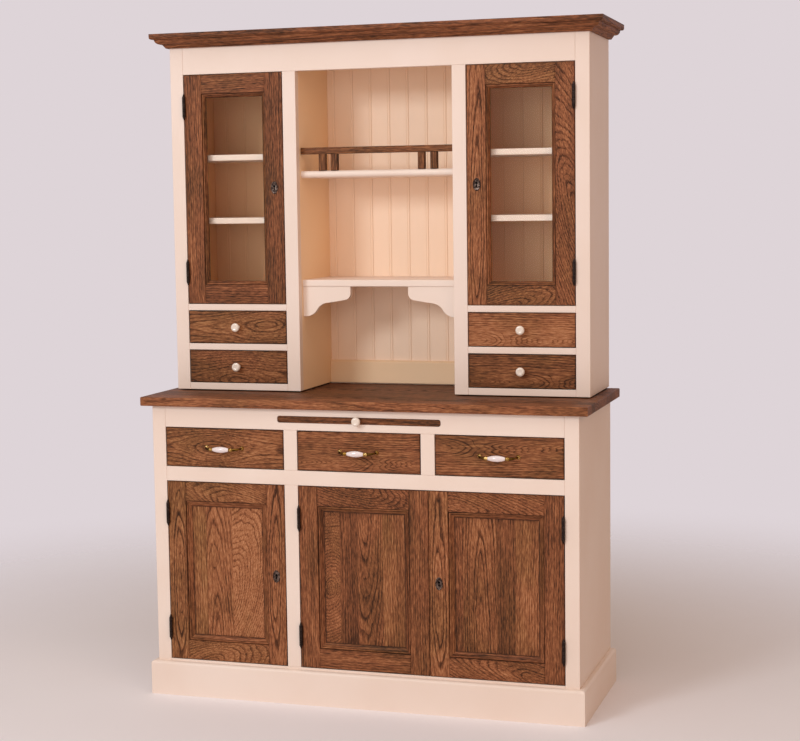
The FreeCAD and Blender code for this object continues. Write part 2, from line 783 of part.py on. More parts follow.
def hinge_leaf(name, gap_x, axis_x, front, middle, towards, knuckles):
    """One leaf: a plate in the gap, joined to its knuckles round the pin.

    gap_x is the middle of the gap; towards is 1 where the plate lies on its +X side; knuckles are
    (low, high) heights.
    """
    low, high = s.door_gap / 2 - s.hinge_leaf_thickness, s.door_gap / 2
    plate_x = (gap_x + low, gap_x + high) if towards > 0 else (gap_x - high, gap_x - low)
    axis_y = front - hinge_axis_reach
    half_leaf = s.hinge_leaf_length / 2
    parts = [board(f"{name}_plate", plate_x, (front, front + s.hinge_leaf_depth),
                   (middle - half_leaf, middle + half_leaf))]
    for index, (bottom, top) in enumerate(knuckles, start=1):
        parts.append(board(f"{name}_tab_{index}", plate_x, (axis_y, front), (middle + bottom, middle + top)))
        parts.append(upright_rod(f"{name}_knuckle_{index}", s.hinge_barrel_radius, axis_x, axis_y,
                                 middle + bottom, top - bottom))
    solid = doc.addObject("Part::MultiFuse", f"{name}_solid")
    solid.Shapes = parts
    bore = upright_rod(f"{name}_bore", s.hinge_pin_radius + s.hinge_pin_clearance, axis_x, axis_y,
                       middle - half_leaf, s.hinge_leaf_length)
    return combine("Part::Cut", name, solid, bore)


def upright_rod(name, radius, x, y, z, height):
    rod = doc.addObject("Part::Cylinder", name)
    rod.setExpression("Radius", length(radius).text)
    rod.setExpression("Height", length(height).text)
    place(rod, x, y, z)
    return rod


def hinge_pin(name, axis_x, front, middle):
    """A pin with a pointed finial on each end of the barrel."""
    half_leaf = s.hinge_leaf_length / 2
    axis_y = front - hinge_axis_reach
    parts = [upright_rod(f"{name}_rod", s.hinge_pin_radius, axis_x, axis_y, middle - half_leaf,
                         s.hinge_leaf_length)]
    wide = (s.hinge_barrel_radius * 0.9).text
    point = (s.hinge_barrel_radius * 0.2).text
    for end, bottom, radii in (("top", middle + half_leaf, (wide, point)),
                               ("bottom", middle - half_leaf - s.hinge_finial_length, (point, wide))):
        tip = doc.addObject("Part::Cone", f"{name}_{end}_finial")
        tip.setExpression("Radius1", radii[0])
        tip.setExpression("Radius2", radii[1])
        tip.setExpression("Height", s.hinge_finial_length.text)
        place(tip, axis_x, axis_y, bottom)
        parts.append(tip)
    solid = doc.addObject("Part::MultiFuse", name)
    solid.Shapes = parts
    return solid


frame_hinges = []


def make_hinges(door, hinge_side, x, z, front):
    """The door's own leaves, returned; the frame's leaves and the pins join frame_hinges."""
    if hinge_side < 0:
        gap_x = x[0] + s.door_gap / 2
        axis_x = gap_x + s.hinge_axis_offset
    else:
        gap_x = x[1] - s.door_gap / 2
        axis_x = gap_x - s.hinge_axis_offset
    half_knuckle = s.hinge_knuckle_length / 2
    half_gap = s.hinge_knuckle_gap / 2
    half_leaf = s.hinge_leaf_length / 2
    middle_knuckle = [(half_gap - half_knuckle, half_knuckle - half_gap)]
    end_knuckles = [(-half_leaf, -half_knuckle - half_gap), (half_knuckle + half_gap, half_leaf)]
    leaves = []
    for level, middle in (("low", z[0] + s.hinge_inset), ("high", z[1] - s.hinge_inset)):
        name = f"{door}_{level}_hinge"
        leaves.append(hinge_leaf(f"{name}_door_leaf", gap_x, axis_x, front, middle, -hinge_side,
                                 middle_knuckle))
        frame_hinges.append(hinge_leaf(f"{name}_frame_leaf", gap_x, axis_x, front, middle, hinge_side,
                                       end_knuckles))
        frame_hinges.append(hinge_pin(f"{name}_pin", axis_x, front, middle))
    return leaves


def make_bead(name, x, y, z, width, chamfer):
    """A ring of beading round a panel or a pane, chamfered on its inner front edge."""
    half_width, half_height = (x[1] - x[0]) / 2, (z[1] - z[0]) / 2
    inner_width, inner_height = half_width - width, half_height - width
    body = new_body(name)
    ring = pad(body, sketch_on(body, f"{name}_outline", "XZ_Plane", [
        rectangle((-half_width, -half_height), (half_width, half_height)),
        rectangle((-inner_width, -inner_height), (inner_width, inner_height))]),
        y[1] - y[0], backwards=True)
    dress(body, "Chamfer", ring, lambda edge: abs(edge.CenterOfMass.y) < 1e-6
          and abs(edge.CenterOfMass.x) < half_width.value - width.value / 2
          and abs(edge.CenterOfMass.z) < half_height.value - width.value / 2, chamfer)
    place(body, (x[0] + x[1]) / 2, y[0], (z[0] + z[1]) / 2)
    return body


def make_door(name, x, z, front, hinge_side, stile_width, lock_rise, bead, infill, thickness):
    """A framed door in the opening x by z, hung at one side.

    lock_rise is None without a lock; bead is the width and the chamfer of its beading.
    """
    gap = s.door_gap
    left, right, bottom, top = x[0] + gap, x[1] - gap, z[0] + gap, z[1] - gap
    depth = (front, front + s.door_thickness)
    stiles = {-1: board(f"{name}_left_stile", (left, left + stile_width), depth, (bottom, top)),
              1: board(f"{name}_right_stile", (right - stile_width, right), depth, (bottom, top))}
    inside_x = (left + stile_width, right - stile_width)
    inside_z = (bottom + stile_width, top - stile_width)
    rails = [board(f"{name}_bottom_rail", inside_x, depth, (bottom, inside_z[0])),
             board(f"{name}_top_rail", inside_x, depth, (inside_z[1], top))]
    ironwork = make_hinges(name, hinge_side, x, z, front)
    if lock_rise is not None:
        lock_height = z[0] + lock_rise
        free = -hinge_side
        key_x = right - s.key_inset if free > 0 else left + s.key_inset
        cutter = keyhole_cutter(name, key_x, front, lock_height)
        stiles[free] = combine("Part::Cut", f"{name}_lock_stile", stiles[free], cutter)
        ironwork.append(combine("Part::Cut", f"{name}_escutcheon",
                                make_escutcheon(f"{name}_escutcheon_plate", key_x, front, lock_height),
                                cutter))
        half_lock = s.lock_width / 2
        ironwork.append(board(f"{name}_lock", (key_x - half_lock, key_x + half_lock),
                              (depth[1], depth[1] + s.lock_depth),
                              (lock_height - s.lock_height / 2, lock_height + s.lock_height / 2)))
    beading = make_bead(f"{name}_bead", inside_x, (front + s.bead_drop, front + s.panel_recess),
                        inside_z, *bead)
    gather(f"{name}_frame", [stiles[-1], stiles[1], *rails, beading])
    gather(f"{name}_ironwork", ironwork)
    board(f"{name}_{infill}", inside_x, (front + s.panel_recess, front + s.panel_recess + thickness),
          inside_z)


def make_doors():
    outer = base_half - s.stile_width
    z = (door_opening_bottom, door_opening_top)
    meeting = (outer - post_inner) / 2
    for name, x, hinge_side, lock in (
            ("left_cupboard_door", (-outer, -post_outer), -1, s.left_lock_rise),
            ("middle_cupboard_door", (-post_inner, meeting + s.door_gap / 2), -1, None),
            ("right_cupboard_door", (meeting - s.door_gap / 2, outer), 1, s.right_lock_rise)):
        make_door(name, x, z, base_front, hinge_side, s.base_door_stile_width, lock,
                  (s.panel_bead_width, s.panel_bead_chamfer), "panel", s.panel_thickness)
    z = (glass_door_bottom, glass_door_top)
    for side, hand in sides:
        make_door(f"{hand}_glass_door", across(side, tower_inner, tower_outer), z, hutch_front, side,
                  s.glass_door_stile_width, s.glass_lock_rise,
                  (s.glass_bead_width, s.glass_bead_chamfer), "glass", s.glass_thickness)
    gather("frame_hinges", frame_hinges)


# ---------------------------------------------------------------- drawers and the pull-out board

def make_drawer(name, x, z, front, case_inside_back):
    """A drawer in the opening x by z: front, two sides, back and bottom."""
    gap = s.door_gap
    box_front = front + s.drawer_front_thickness
    box_back = case_inside_back - s.drawer_back_clearance
    wall = s.drawer_board_thickness
    outer_left, outer_right = x[0] + gap + s.drawer_side_inset, x[1] - gap - s.drawer_side_inset
    inner = (outer_left + wall, outer_right - wall)
    height = (z[0] + s.running_gap, z[1] - s.drawer_head_room)
    floor = height[0] + s.drawer_bottom_lift
    gather(name, [
        board(f"{name}_front", (x[0] + gap, x[1] - gap), (front, box_front), (z[0] + gap, z[1] - gap)),
        board(f"{name}_left_side", (outer_left, inner[0]), (box_front, box_back), height),
        board(f"{name}_right_side", (inner[1], outer_right), (box_front, box_back), height),
        board(f"{name}_back", inner, (box_back - wall, box_back), height),
        board(f"{name}_bottom", inner, (box_front, box_back - wall),
              (floor, floor + s.drawer_bottom_thickness))])


def make_handle(name, x, z):
    """A brass bow with a turned porcelain grip, standing on two domed feet."""
    axis_out = s.handle_reach - s.grip_radius
    brass = doc.addObject("Part::Feature", f"{name}_brass")
    brass.Label = f"{name}_brass"
    end = handle_end(axis_out.value)
    brass.Shape = Part.makeCompound([end.mirror(FreeCAD.Vector(), FreeCAD.Vector(1, 0, 0)), end])
    place(brass, x, base_front, z + s.handle_drop / 2)
    tip = s.grip_end_radius
    belly = arc_radius(s.grip_length / 2, s.grip_radius - tip)
    grip = turned(f"{name}_grip", [
        (0, 0), (tip, 0, belly, 1), (tip, s.grip_length), (0, s.grip_length)])
    grip.Placement.Rotation = FreeCAD.Rotation(FreeCAD.Vector(0, 1, 0), 90)
    place(grip, x - s.grip_length / 2, base_front - axis_out, z - s.handle_drop / 2)


def handle_end(axis_out):
    """A bow handle's right end: domed foot, tapering arm, bead and ferrule as one casting."""
    forward, outward = FreeCAD.Vector(0, -1, 0), FreeCAD.Vector(1, 0, 0)
    foot = outward * s.handle_half_span.value
    neck = foot + forward * (s.handle_foot_radius.value / 2)
    drop = FreeCAD.Vector(0, 0, -s.handle_drop.value)
    ferrule = outward * (s.grip_length.value / 2) + forward * axis_out + drop
    bead_radius = s.handle_bead_radius.value
    bead = ferrule + outward * bead_radius
    arm = bead - neck
    solids = [
        Part.makeSphere(s.handle_foot_radius.value, foot, forward, 0, 90, 360),
        Part.makeCone(s.handle_neck_radius.value, s.handle_arm_radius.value, arm.Length, neck, arm),
        Part.makeSphere(bead_radius, bead),
        Part.makeCylinder(s.grip_end_radius.value, bead_radius, ferrule, outward),
    ]
    return solids[0].multiFuse(solids[1:]).removeSplitter()


def make_knob(name, x, y, z):
    """A mushroom knob on a small foot, standing out towards the front."""
    head_rise = s.knob_head_rise
    widest = s.knob_length - head_rise
    throat = widest - (s.knob_radius - s.knob_neck_radius)
    knob = turned(name, [
        (0, 0), (s.knob_foot_radius, 0), (s.knob_foot_radius, s.knob_foot_length),
        (s.knob_neck_radius, s.knob_foot_length),
        (s.knob_neck_radius, throat, s.knob_radius - s.knob_neck_radius, 1),
        (s.knob_radius, widest, arc_radius(s.knob_radius, head_rise), 1),
        (0, s.knob_length)])
    face_to_front(knob)
    place(knob, x, y, z)


def make_drawers():
    outer = base_half - s.stile_width
    z = (drawer_opening_bottom, drawer_opening_top)
    for name, x in (("left", (-outer, -post_outer)), ("middle", (-post_inner, post_inner)),
                    ("right", (post_outer, outer))):
        make_drawer(f"{name}_drawer", x, z, base_front, back_panel_front)
        make_handle(f"{name}_handle", (x[0] + x[1]) / 2, (z[0] + z[1]) / 2)
    for side, hand in sides:
        x = across(side, tower_inner, tower_outer)
        for level, z in (("upper", (high_drawer_bottom, high_drawer_top)),
                         ("lower", (low_drawer_bottom, low_drawer_top))):
            make_drawer(f"{level}_{hand}_drawer", x, z, hutch_front, boards_front)
            make_knob(f"{level}_{hand}_knob", (x[0] + x[1]) / 2, hutch_front, (z[0] + z[1]) / 2)


def make_pull_out_board():
    clear = s.board_clearance
    half = s.board_slot_width / 2 - clear
    body = new_body("pull_out_board")
    outline = sketch_on(body, "board_outline", "XZ_Plane", [
        rounded_rectangle((-half, board_slot_bottom + s.running_gap), (half, board_slot_top - clear),
                          s.board_slot_rounding - clear)])
    pad(body, outline, back_panel_front - s.board_back_clearance - base_front, backwards=True)
    place(body, 0, base_front, 0)
    make_knob("board_knob", length(0), base_front, (board_slot_bottom + board_slot_top) / 2)


make_base_case()
make_base_frame()
make_plinth()
make_worktop()
make_hutch_case()
make_shelves()
make_gallery()
make_brackets()
make_ledge()
make_cornice()
make_doors()
make_drawers()
make_pull_out_board()
doc.recompute()

# ---------------------------------------------------------------- checks and files

for item in doc.Objects:
    if "Invalid" in item.State or "Error" in item.State:
        raise RuntimeError(f"{item.Label} failed to build: {item.State}")


def is_top_level(item):
    """A sub-part is an item with a solid shape that no other item is made from."""
    users = [user for user in item.InList if user.TypeId != "Spreadsheet::Sheet"]
    return hasattr(item, "Shape") and not users and item.Shape.Solids


os.makedirs("parts", exist_ok=True)
sub_parts = [item for item in doc.Objects if is_top_level(item)]
for item in sub_parts:
    shape = item.Shape
    if shape.isNull() or not shape.isValid():
        raise RuntimeError(f"{item.Label} has a bad shape")
    shape.exportStep(f"parts/{item.Label}.step")
print(len(sub_parts), "sub-parts,", sum(len(item.Shape.Solids) for item in sub_parts), "solids")
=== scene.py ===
"""The looks of a cream painted dresser with hutch and stained oak fronts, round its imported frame.

Every board is made from its own CAD solid, with eased edges. An oak board also carries its place
in the tree it was sawn from, which the oak material reads to draw rings, pores and end grain.
Sizes are in metres, and MM turns millimetres into them.
"""
import copy
import json
import math
import random

import bmesh
import bpy
from mathutils import Matrix, Vector


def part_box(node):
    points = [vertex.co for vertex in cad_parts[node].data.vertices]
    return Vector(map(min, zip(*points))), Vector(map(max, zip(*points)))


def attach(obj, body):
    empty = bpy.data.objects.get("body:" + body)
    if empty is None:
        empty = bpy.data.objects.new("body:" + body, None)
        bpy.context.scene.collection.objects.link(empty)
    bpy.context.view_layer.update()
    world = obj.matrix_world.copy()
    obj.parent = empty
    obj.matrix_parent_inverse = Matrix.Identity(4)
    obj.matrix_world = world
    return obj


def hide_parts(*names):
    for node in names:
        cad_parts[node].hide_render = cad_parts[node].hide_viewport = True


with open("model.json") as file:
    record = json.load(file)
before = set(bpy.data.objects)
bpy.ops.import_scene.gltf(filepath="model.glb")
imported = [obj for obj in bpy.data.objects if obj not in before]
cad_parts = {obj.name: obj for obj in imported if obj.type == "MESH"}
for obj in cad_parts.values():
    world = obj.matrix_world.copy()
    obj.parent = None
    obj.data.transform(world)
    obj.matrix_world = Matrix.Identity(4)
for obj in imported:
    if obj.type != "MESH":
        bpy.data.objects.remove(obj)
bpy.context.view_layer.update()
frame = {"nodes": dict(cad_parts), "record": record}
nodes = frame["nodes"]
body_of = {node: body for body, members in frame["record"]["behaviour"]["bodies"].items()
           for node in members}

MM = 0.001
X, Y, Z = 0, 1, 2
FORWARD = Vector((0, -1, 0))
SHARP_EDGE = math.radians(30)       # a CAD edge over this is eased
SHARP_SHADE = math.radians(50)      # a finished edge over this is shaded as sharp
FLAT = math.radians(0.5)            # CAD triangles that differ by less are one face
EASE_PAINTED, EASE_OAK, EASE_INSIDE = 1.3 * MM, 1.2 * MM, 0.6 * MM


# ---------------------------------------------------------------- materials

def srgb(red, green, blue):
    """A colour as it looks on a screen, 0 to 255, in Blender's linear values."""
    def linear(value):
        value /= 255
        return value / 12.92 if value <= 0.04045 else ((value + 0.055) / 1.055) ** 2.4
    return (linear(red), linear(green), linear(blue), 1.0)


class Graph:
    """One material, its nodes added by calls that return an output socket."""

    def __init__(self, name):
        self.material = bpy.data.materials.new(name)
        self.material.use_nodes = True
        self.tree = self.material.node_tree
        self.shader = self.tree.nodes["Principled BSDF"]
        self.output = self.tree.nodes["Material Output"]

    def node(self, kind, inputs=None, **settings):
        node = self.tree.nodes.new("ShaderNode" + kind)
        for name, value in settings.items():
            setattr(node, name, value)
        for key, value in (inputs or {}).items():
            self.feed(node.inputs[key], value)
        return node

    def feed(self, socket, value):
        if isinstance(value, bpy.types.NodeSocket):
            self.tree.links.new(value, socket)
        else:
            socket.default_value = value

    def surface(self, **values):
        """Sets the shader's own sockets; Base_Color stands for Base Color."""
        for name, value in values.items():
            self.feed(self.shader.inputs[name.replace("_", " ")], value)

    def attribute(self, name):
        return self.node("Attribute", attribute_name=name)

    def place(self):
        return self.node("TexCoord").outputs["Object"]

    def math(self, operation, first, second=0.0, clamp=False):
        return self.node("Math", {0: first, 1: second}, operation=operation,
                         use_clamp=clamp).outputs[0]

    def total(self, start, *terms):
        """start plus each (value, share) of terms."""
        for value, share in terms:
            start = self.node("Math", {0: value, 1: share, 2: start},
                              operation="MULTIPLY_ADD").outputs[0]
        return start

    def vector(self, operation, first, second=(0, 0, 0)):
        node = self.node("VectorMath", {0: first, 1: second}, operation=operation)
        return node.outputs["Value" if operation == "LENGTH" else "Vector"]

    def parts(self, vector):
        """The X, Y and Z of a vector."""
        return self.node("SeparateXYZ", {0: vector}).outputs

    def noise(self, place, scale, detail=2.0, roughness=0.5, output=0):
        """Noise at scale waves a metre along each axis of place."""
        if not isinstance(scale, (int, float)):
            place, scale = self.vector("MULTIPLY", place, scale), 1.0
        return self.node("TexNoise", {"Vector": place, "Scale": scale, "Detail": detail,
                                      "Roughness": roughness}).outputs[output]

    def smooth(self, value, low, high, start=0.0, end=1.0):
        """start up to low, end from high, and a smooth step between them."""
        return self.node("MapRange", {"Value": value, "From Min": low, "From Max": high,
                                      "To Min": start, "To Max": end},
                         interpolation_type="SMOOTHSTEP").outputs[0]

    def mix(self, share, first, second, blend="MIX"):
        return self.node("Mix", {0: share, 6: first, 7: second}, data_type="RGBA",
                         blend_type=blend).outputs[2]

    def ramp(self, value, stops):
        node = self.node("ValToRGB", {0: value})
        points = node.color_ramp.elements
        while len(points) < len(stops):
            points.new(0.5)
        for point, (position, colour) in zip(points, stops):
            point.position, point.color = position, colour
        return node.outputs[0]

    def bump(self, height, depth, strength=1.0):
        """height 0 to 1 over a relief of depth metres."""
        self.surface(Normal=self.node("Bump", {"Strength": strength, "Distance": depth,
                                               "Height": height}).outputs[0])


def oak(name, ring=7.0 * MM):
    """Stained, brushed oak: dark porous early wood in each ring, streaks, pores and clouds. Each
    board darkens along its edges: staining collected there, and painted shade where they meet
    mouldings and gaps."""
    g = Graph(name)
    place = g.attribute("grain").outputs["Vector"]
    tone = g.attribute("tone").outputs["Fac"]
    cast = g.attribute("cast").outputs["Fac"]
    swayed = place
    for scale, reach in (((1.6, 9, 9), 30 * MM), ((7, 34, 34), 9 * MM), ((26, 120, 120), 2.4 * MM)):
        sway = g.vector("SUBTRACT", g.noise(place, scale, 1.0, output=1), (0.5, 0.5, 0.5))
        swayed = g.vector("ADD", swayed, g.vector("MULTIPLY", sway, (0, reach, reach)))
    radius = g.vector("LENGTH", g.vector("MULTIPLY", swayed, (0, 1, 1)))
    aside = g.math("ABSOLUTE", g.parts(swayed)["Y"])
    lost = g.math("MULTIPLY", g.attribute("lost").outputs["Fac"],
                  g.smooth(aside, 2 * MM, 34 * MM, 1.0, 0.0))
    rings = g.math("DIVIDE", g.math("SUBTRACT", radius, lost), ring)
    phase = g.math("FRACT", rings)
    season = g.node("TexWhiteNoise", {"W": g.math("FLOOR", rings)},
                    noise_dimensions="1D").outputs["Value"]
    early = g.math("MAXIMUM", g.smooth(phase, 0.0, 0.45, 1.0, 0.0), g.smooth(phase, 0.86, 1.0))
    early = g.math("MULTIPLY", early, g.smooth(season, 0.0, 1.0, 0.15, 1.0))
    clouds = g.noise(place, (5, 9, 9), 2.0)
    broad = g.noise(place, (2.2, 34, 34), 3.0, 0.6)
    streak = g.noise(place, (12, 200, 200), 2.0, 0.6)
    dash = g.smooth(g.noise(place, (46, 380, 380), 2.0, 0.6), 0.3, 0.7)
    fibre = g.noise(place, (60, 640, 640), 2.0, 0.6)
    pores = g.smooth(g.noise(place, (60, 900, 900), 1.0), 0.54, 0.68)
    pores = g.math("MULTIPLY", pores, g.smooth(early, 0.0, 0.7, 0.3, 1.0))
    spot = g.attribute("spot").outputs["Vector"]
    bold = g.parts(spot)["Z"]
    early = g.math("MULTIPLY", early, bold)
    # The edges' darkening: staining collected there, and painted shade where they meet mouldings and
    # gaps.
    size = g.attribute("size").outputs["Vector"]
    rim = g.parts(g.vector("SUBTRACT", size, g.vector("ABSOLUTE", spot)))
    wear = g.parts(size)["Z"]
    ragged = g.noise(place, (30, 90, 90), 2.0)
    inset = g.total(g.math("MINIMUM", rim["X"], rim["Y"]), (ragged, 9 * MM))
    stained_and_shaded_edges = g.total(0.0, (g.smooth(inset, 3 * MM, 9 * MM, 1.0, 0.0), 0.75),
                       (g.smooth(inset, 6 * MM, 34 * MM, 1.0, 0.0), 0.25))
    stained_and_shaded_edges = g.math("MULTIPLY", stained_and_shaded_edges, wear)
    shares = ((clouds, 0.4), (broad, 0.42), (streak, 0.5), (dash, 0.34), (fibre, 0.6))
    depth = g.total(0.575 - sum(share / 2 for _, share in shares), (tone, 0.13), (early, -0.33),
                    (pores, -0.2), (stained_and_shaded_edges, -0.3), *shares)
    colour = g.ramp(depth, [(0.0, srgb(46, 25, 11)), (0.25, srgb(84, 49, 25)),
                            (0.5, srgb(126, 77, 47)), (0.72, srgb(157, 104, 67)),
                            (1.0, srgb(190, 139, 98))])
    olive = g.total(-0.35, (cast, 0.7), (g.smooth(clouds, 0.3, 0.62, 1.0, 0.0), 0.65))
    olive = g.math("MULTIPLY", olive, 1.0, clamp=True)
    tint = g.mix(olive, srgb(255, 243, 240), srgb(240, 244, 226))
    g.surface(Base_Color=g.mix(1.0, colour, tint, "MULTIPLY"), Specular_IOR_Level=0.22,
              Roughness=g.total(0.50, (early, 0.10), (streak, 0.12)))
    g.bump(g.total(0.6, (pores, -0.5), (early, -0.25), (fibre, 0.25)), 0.35 * MM, 0.7)
    return g.material


def paint(name, colour, deeper, roughness=0.42, rooms=()):
    """Rolled satin paint: faint clouds of a deeper tint over a fine stipple. rooms are boxes, each
    (low corner, high corner, colour), in which the paint takes that colour instead: painted shade and
    warm bounce light inside the hutch."""
    g = Graph(name)
    place = g.place()
    clouds = g.smooth(g.noise(place, 3.1, 3.0), 0.3, 0.75)
    stipple = g.noise(place, 420, 2.0)
    waves = g.noise(place, 38, 2.0)
    shade = g.mix(clouds, colour, deeper)
    for low, high, inner in rooms:
        inset = g.vector("MINIMUM", g.vector("SUBTRACT", place, low),
                         g.vector("SUBTRACT", high, place))
        inset = g.parts(inset)
        inset = g.math("MINIMUM", g.math("MINIMUM", inset["X"], inset["Y"]), inset["Z"])
        # Inside each room the colour is replaced by painted shade and warm bounce light.
        shade = g.mix(g.smooth(inset, 0.0, 1 * MM), shade, inner)
    g.surface(Base_Color=shade, Roughness=g.total(roughness, (waves, 0.12)))
    g.bump(g.total(0.0, (stipple, 0.35), (waves, 0.65)), 0.16 * MM, 0.6)
    return g.material


def metal(name, colour, worn, roughness, metallic, grain=160):
    """Cast metal: a dull skin rubbed bright in patches, slightly hammered."""
    g = Graph(name)
    place = g.place()
    rubbed = g.smooth(g.noise(place, grain, 3.0, 0.6), 0.42, 0.72)
    pits = g.noise(place, grain * 6, 2.0)
    g.surface(Base_Color=g.mix(rubbed, colour, worn), Metallic=metallic,
              Roughness=g.total(roughness, (rubbed, -0.12), (pits, 0.12)))
    g.bump(g.total(0.0, (rubbed, 0.5), (pits, 0.5)), 0.15 * MM, 0.6)
    return g.material


def porcelain(name, colour, deeper):
    """Glazed porcelain: a glossy, slightly wavy glaze with faint warm clouds."""
    g = Graph(name)
    place = g.place()
    clouds = g.noise(place, 55, 3.0)
    g.surface(Base_Color=g.mix(clouds, colour, deeper), Roughness=g.total(0.12, (clouds, 0.1)),
              Coat_Weight=0.6, Coat_Roughness=0.06)
    g.bump(g.noise(place, 140, 1.0), 0.12 * MM, 0.4)
    return g.material


def glass(name):
    """Clear float glass, which lets the lamps through to what stands behind it."""
    g = Graph(name)
    ripple = g.noise(g.place(), (3, 3, 9), 1.0)
    g.surface(Base_Color=(0.99, 0.99, 0.98, 1), Roughness=0.0, Transmission_Weight=1.0, IOR=1.14)
    g.bump(ripple, 0.3 * MM, 0.25)
    rays = g.node("LightPath").outputs
    passing = g.math("MAXIMUM", rays["Is Shadow Ray"], rays["Is Diffuse Ray"])
    clear = g.node("BsdfTransparent", {"Color": (0.97, 0.96, 0.94, 1)})
    both = g.node("MixShader", {0: passing, 1: g.shader.outputs[0], 2: clear.outputs[0]})
    g.feed(g.output.inputs["Surface"], both.outputs[0])
    return g.material


def felt(name, colour, paler):
    """A matt fuzz, which the pads have, and the near black of painted shade that fills each keyhole.
    """
    g = Graph(name)
    fuzz = g.noise(g.place(), 900, 3.0, 0.7)
    g.surface(Base_Color=g.mix(fuzz, colour, paler), Roughness=0.95, Specular_IOR_Level=0.1)
    g.bump(fuzz, 0.5 * MM)
    return g.material


def hutch_shade_rooms(bay, tower):
    """Boxes of the open bay and the two glazed towers, just into the walls that face them, inside
    which the paint carries painted shade and warm bounce light.
    """
    divider_low, divider_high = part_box("hutch_dividers")
    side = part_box("hutch_sides")[1].x
    skin, margin = 2 * MM, 5 * MM
    edge = divider_high.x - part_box("bay_ledge")[1].x - skin
    front, back = divider_low.y + skin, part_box("hutch_back_boards")[0].y + margin
    low, high = divider_low.z - margin, divider_high.z + skin
    inner = divider_high.x - edge
    outer = divider_high.x - skin
    return [((-inner, front, low), (inner, back, high), bay),
            ((-side + edge, front, low), (-outer, back, high), tower),
            ((outer, front, low), (side - edge, back, high), tower)]


OAK = oak("stained_oak")
CREAM = paint("cream_paint", srgb(238, 219, 206), srgb(234, 212, 197))
# A copy of the cream a little deeper on the hutch, as painted shade, and deeper and warmer inside its
# bay and towers, as painted shade and warm bounce light.
CREAM_HUTCH_SHADED = paint("cream_hutch_painted_shade", srgb(235, 215, 203), srgb(231, 209, 194),
                    rooms=hutch_shade_rooms(srgb(246, 212, 173), srgb(246, 199, 149)))
# The cream behind; inside the bay and towers the back boards carry painted shade and warm bounce
# light.
CREAM_BACK_SHADED = paint("cream_back_painted_shade", srgb(238, 219, 206), srgb(234, 212, 197),
                   rooms=hutch_shade_rooms(srgb(255, 226, 199), srgb(250, 205, 159)))
CREAM_INSIDE = paint("cream_inside_paint", srgb(236, 212, 188), srgb(229, 202, 176), 0.55)
BLACK_IRON = metal("black_iron", srgb(38, 28, 24), srgb(66, 52, 45), 0.5, 0.85)
PEWTER = metal("antique_pewter", srgb(50, 38, 33), srgb(132, 112, 100), 0.42, 0.9)
BRASS = metal("antique_brass", srgb(150, 112, 52), srgb(244, 212, 140), 0.27, 1.0, 70)
# A darker brass for the handles' arms: a painted dark reflection.
SHADED_BRASS = metal("brass_painted_dark_reflection", srgb(66, 46, 16), srgb(150, 112, 50), 0.34, 1.0, 70)
# Near black that fills each keyhole: painted shade.
KEYHOLE_SHADE = felt("keyhole_painted_shade", srgb(6, 4, 3), srgb(12, 8, 7))
PORCELAIN = porcelain("white_porcelain", srgb(238, 226, 226), srgb(228, 212, 209))
CREAM_PORCELAIN = porcelain("cream_porcelain", srgb(238, 224, 210), srgb(226, 208, 192))
GLASS = glass("clear_glass")
FELT = felt("felt_pad", srgb(38, 33, 30), srgb(66, 58, 52))


# ---------------------------------------------------------------- boards from the frame's solids

class Solid:
    """One closed solid of a CAD node: its points, its faces and its box."""

    def __init__(self, points, faces):
        self.points, self.faces = points, faces
        self.low = Vector([min(p[k] for p in points) for k in range(3)])
        self.high = Vector([max(p[k] for p in points) for k in range(3)])

    @property
    def middle(self):
        return (self.low + self.high) / 2


def solids(node):
    """The node's solids in the order that the part gives them. A solid ends where no edge is open."""
    mesh = nodes[node].data
    found, open_edges, index, points, faces = [], set(), {}, [], []
    for polygon in mesh.polygons:
        corners = []
        for vertex in polygon.vertices:
            key = tuple(round(c, 6) for c in mesh.vertices[vertex].co)
            if key not in index:
                index[key] = len(points)
                points.append(Vector(key))
            corners.append(index[key])
        faces.append(corners)
        for edge in zip(corners, corners[1:] + corners[:1]):
            open_edges ^= {frozenset(edge)}
        if not open_edges:
            found.append(Solid(points, faces))
            index, points, faces = {}, [], []
    return found


def body_mesh(solid):
    """The solid as a bmesh, with its flat triangles joined."""
    bm = bmesh.new()
    points = [bm.verts.new(p) for p in solid.points]
    for corners in solid.faces:
        bm.faces.new([points[i] for i in corners])
    bmesh.ops.dissolve_limit(bm, angle_limit=FLAT, verts=bm.verts, edges=bm.edges)
    return bm


def ease(bm, width):
    """Rounds the sharp edges by width."""
    sharp = [e for e in bm.edges if e.is_manifold and e.calc_face_angle() > SHARP_EDGE]
    bmesh.ops.bevel(bm, geom=sharp, offset=width, offset_type="OFFSET", segments=2, profile=0.5,
                    affect="EDGES", clamp_overlap=True)
    return bm


def cut(bm, axis, places):
    """Cuts the faces at these places along axis, so that glued staves can differ."""
    normal = Vector([float(k == axis) for k in range(3)])
    for place in places:
        bmesh.ops.bisect_plane(bm, geom=bm.verts[:] + bm.edges[:] + bm.faces[:],
                               plane_co=normal * place, plane_no=normal)


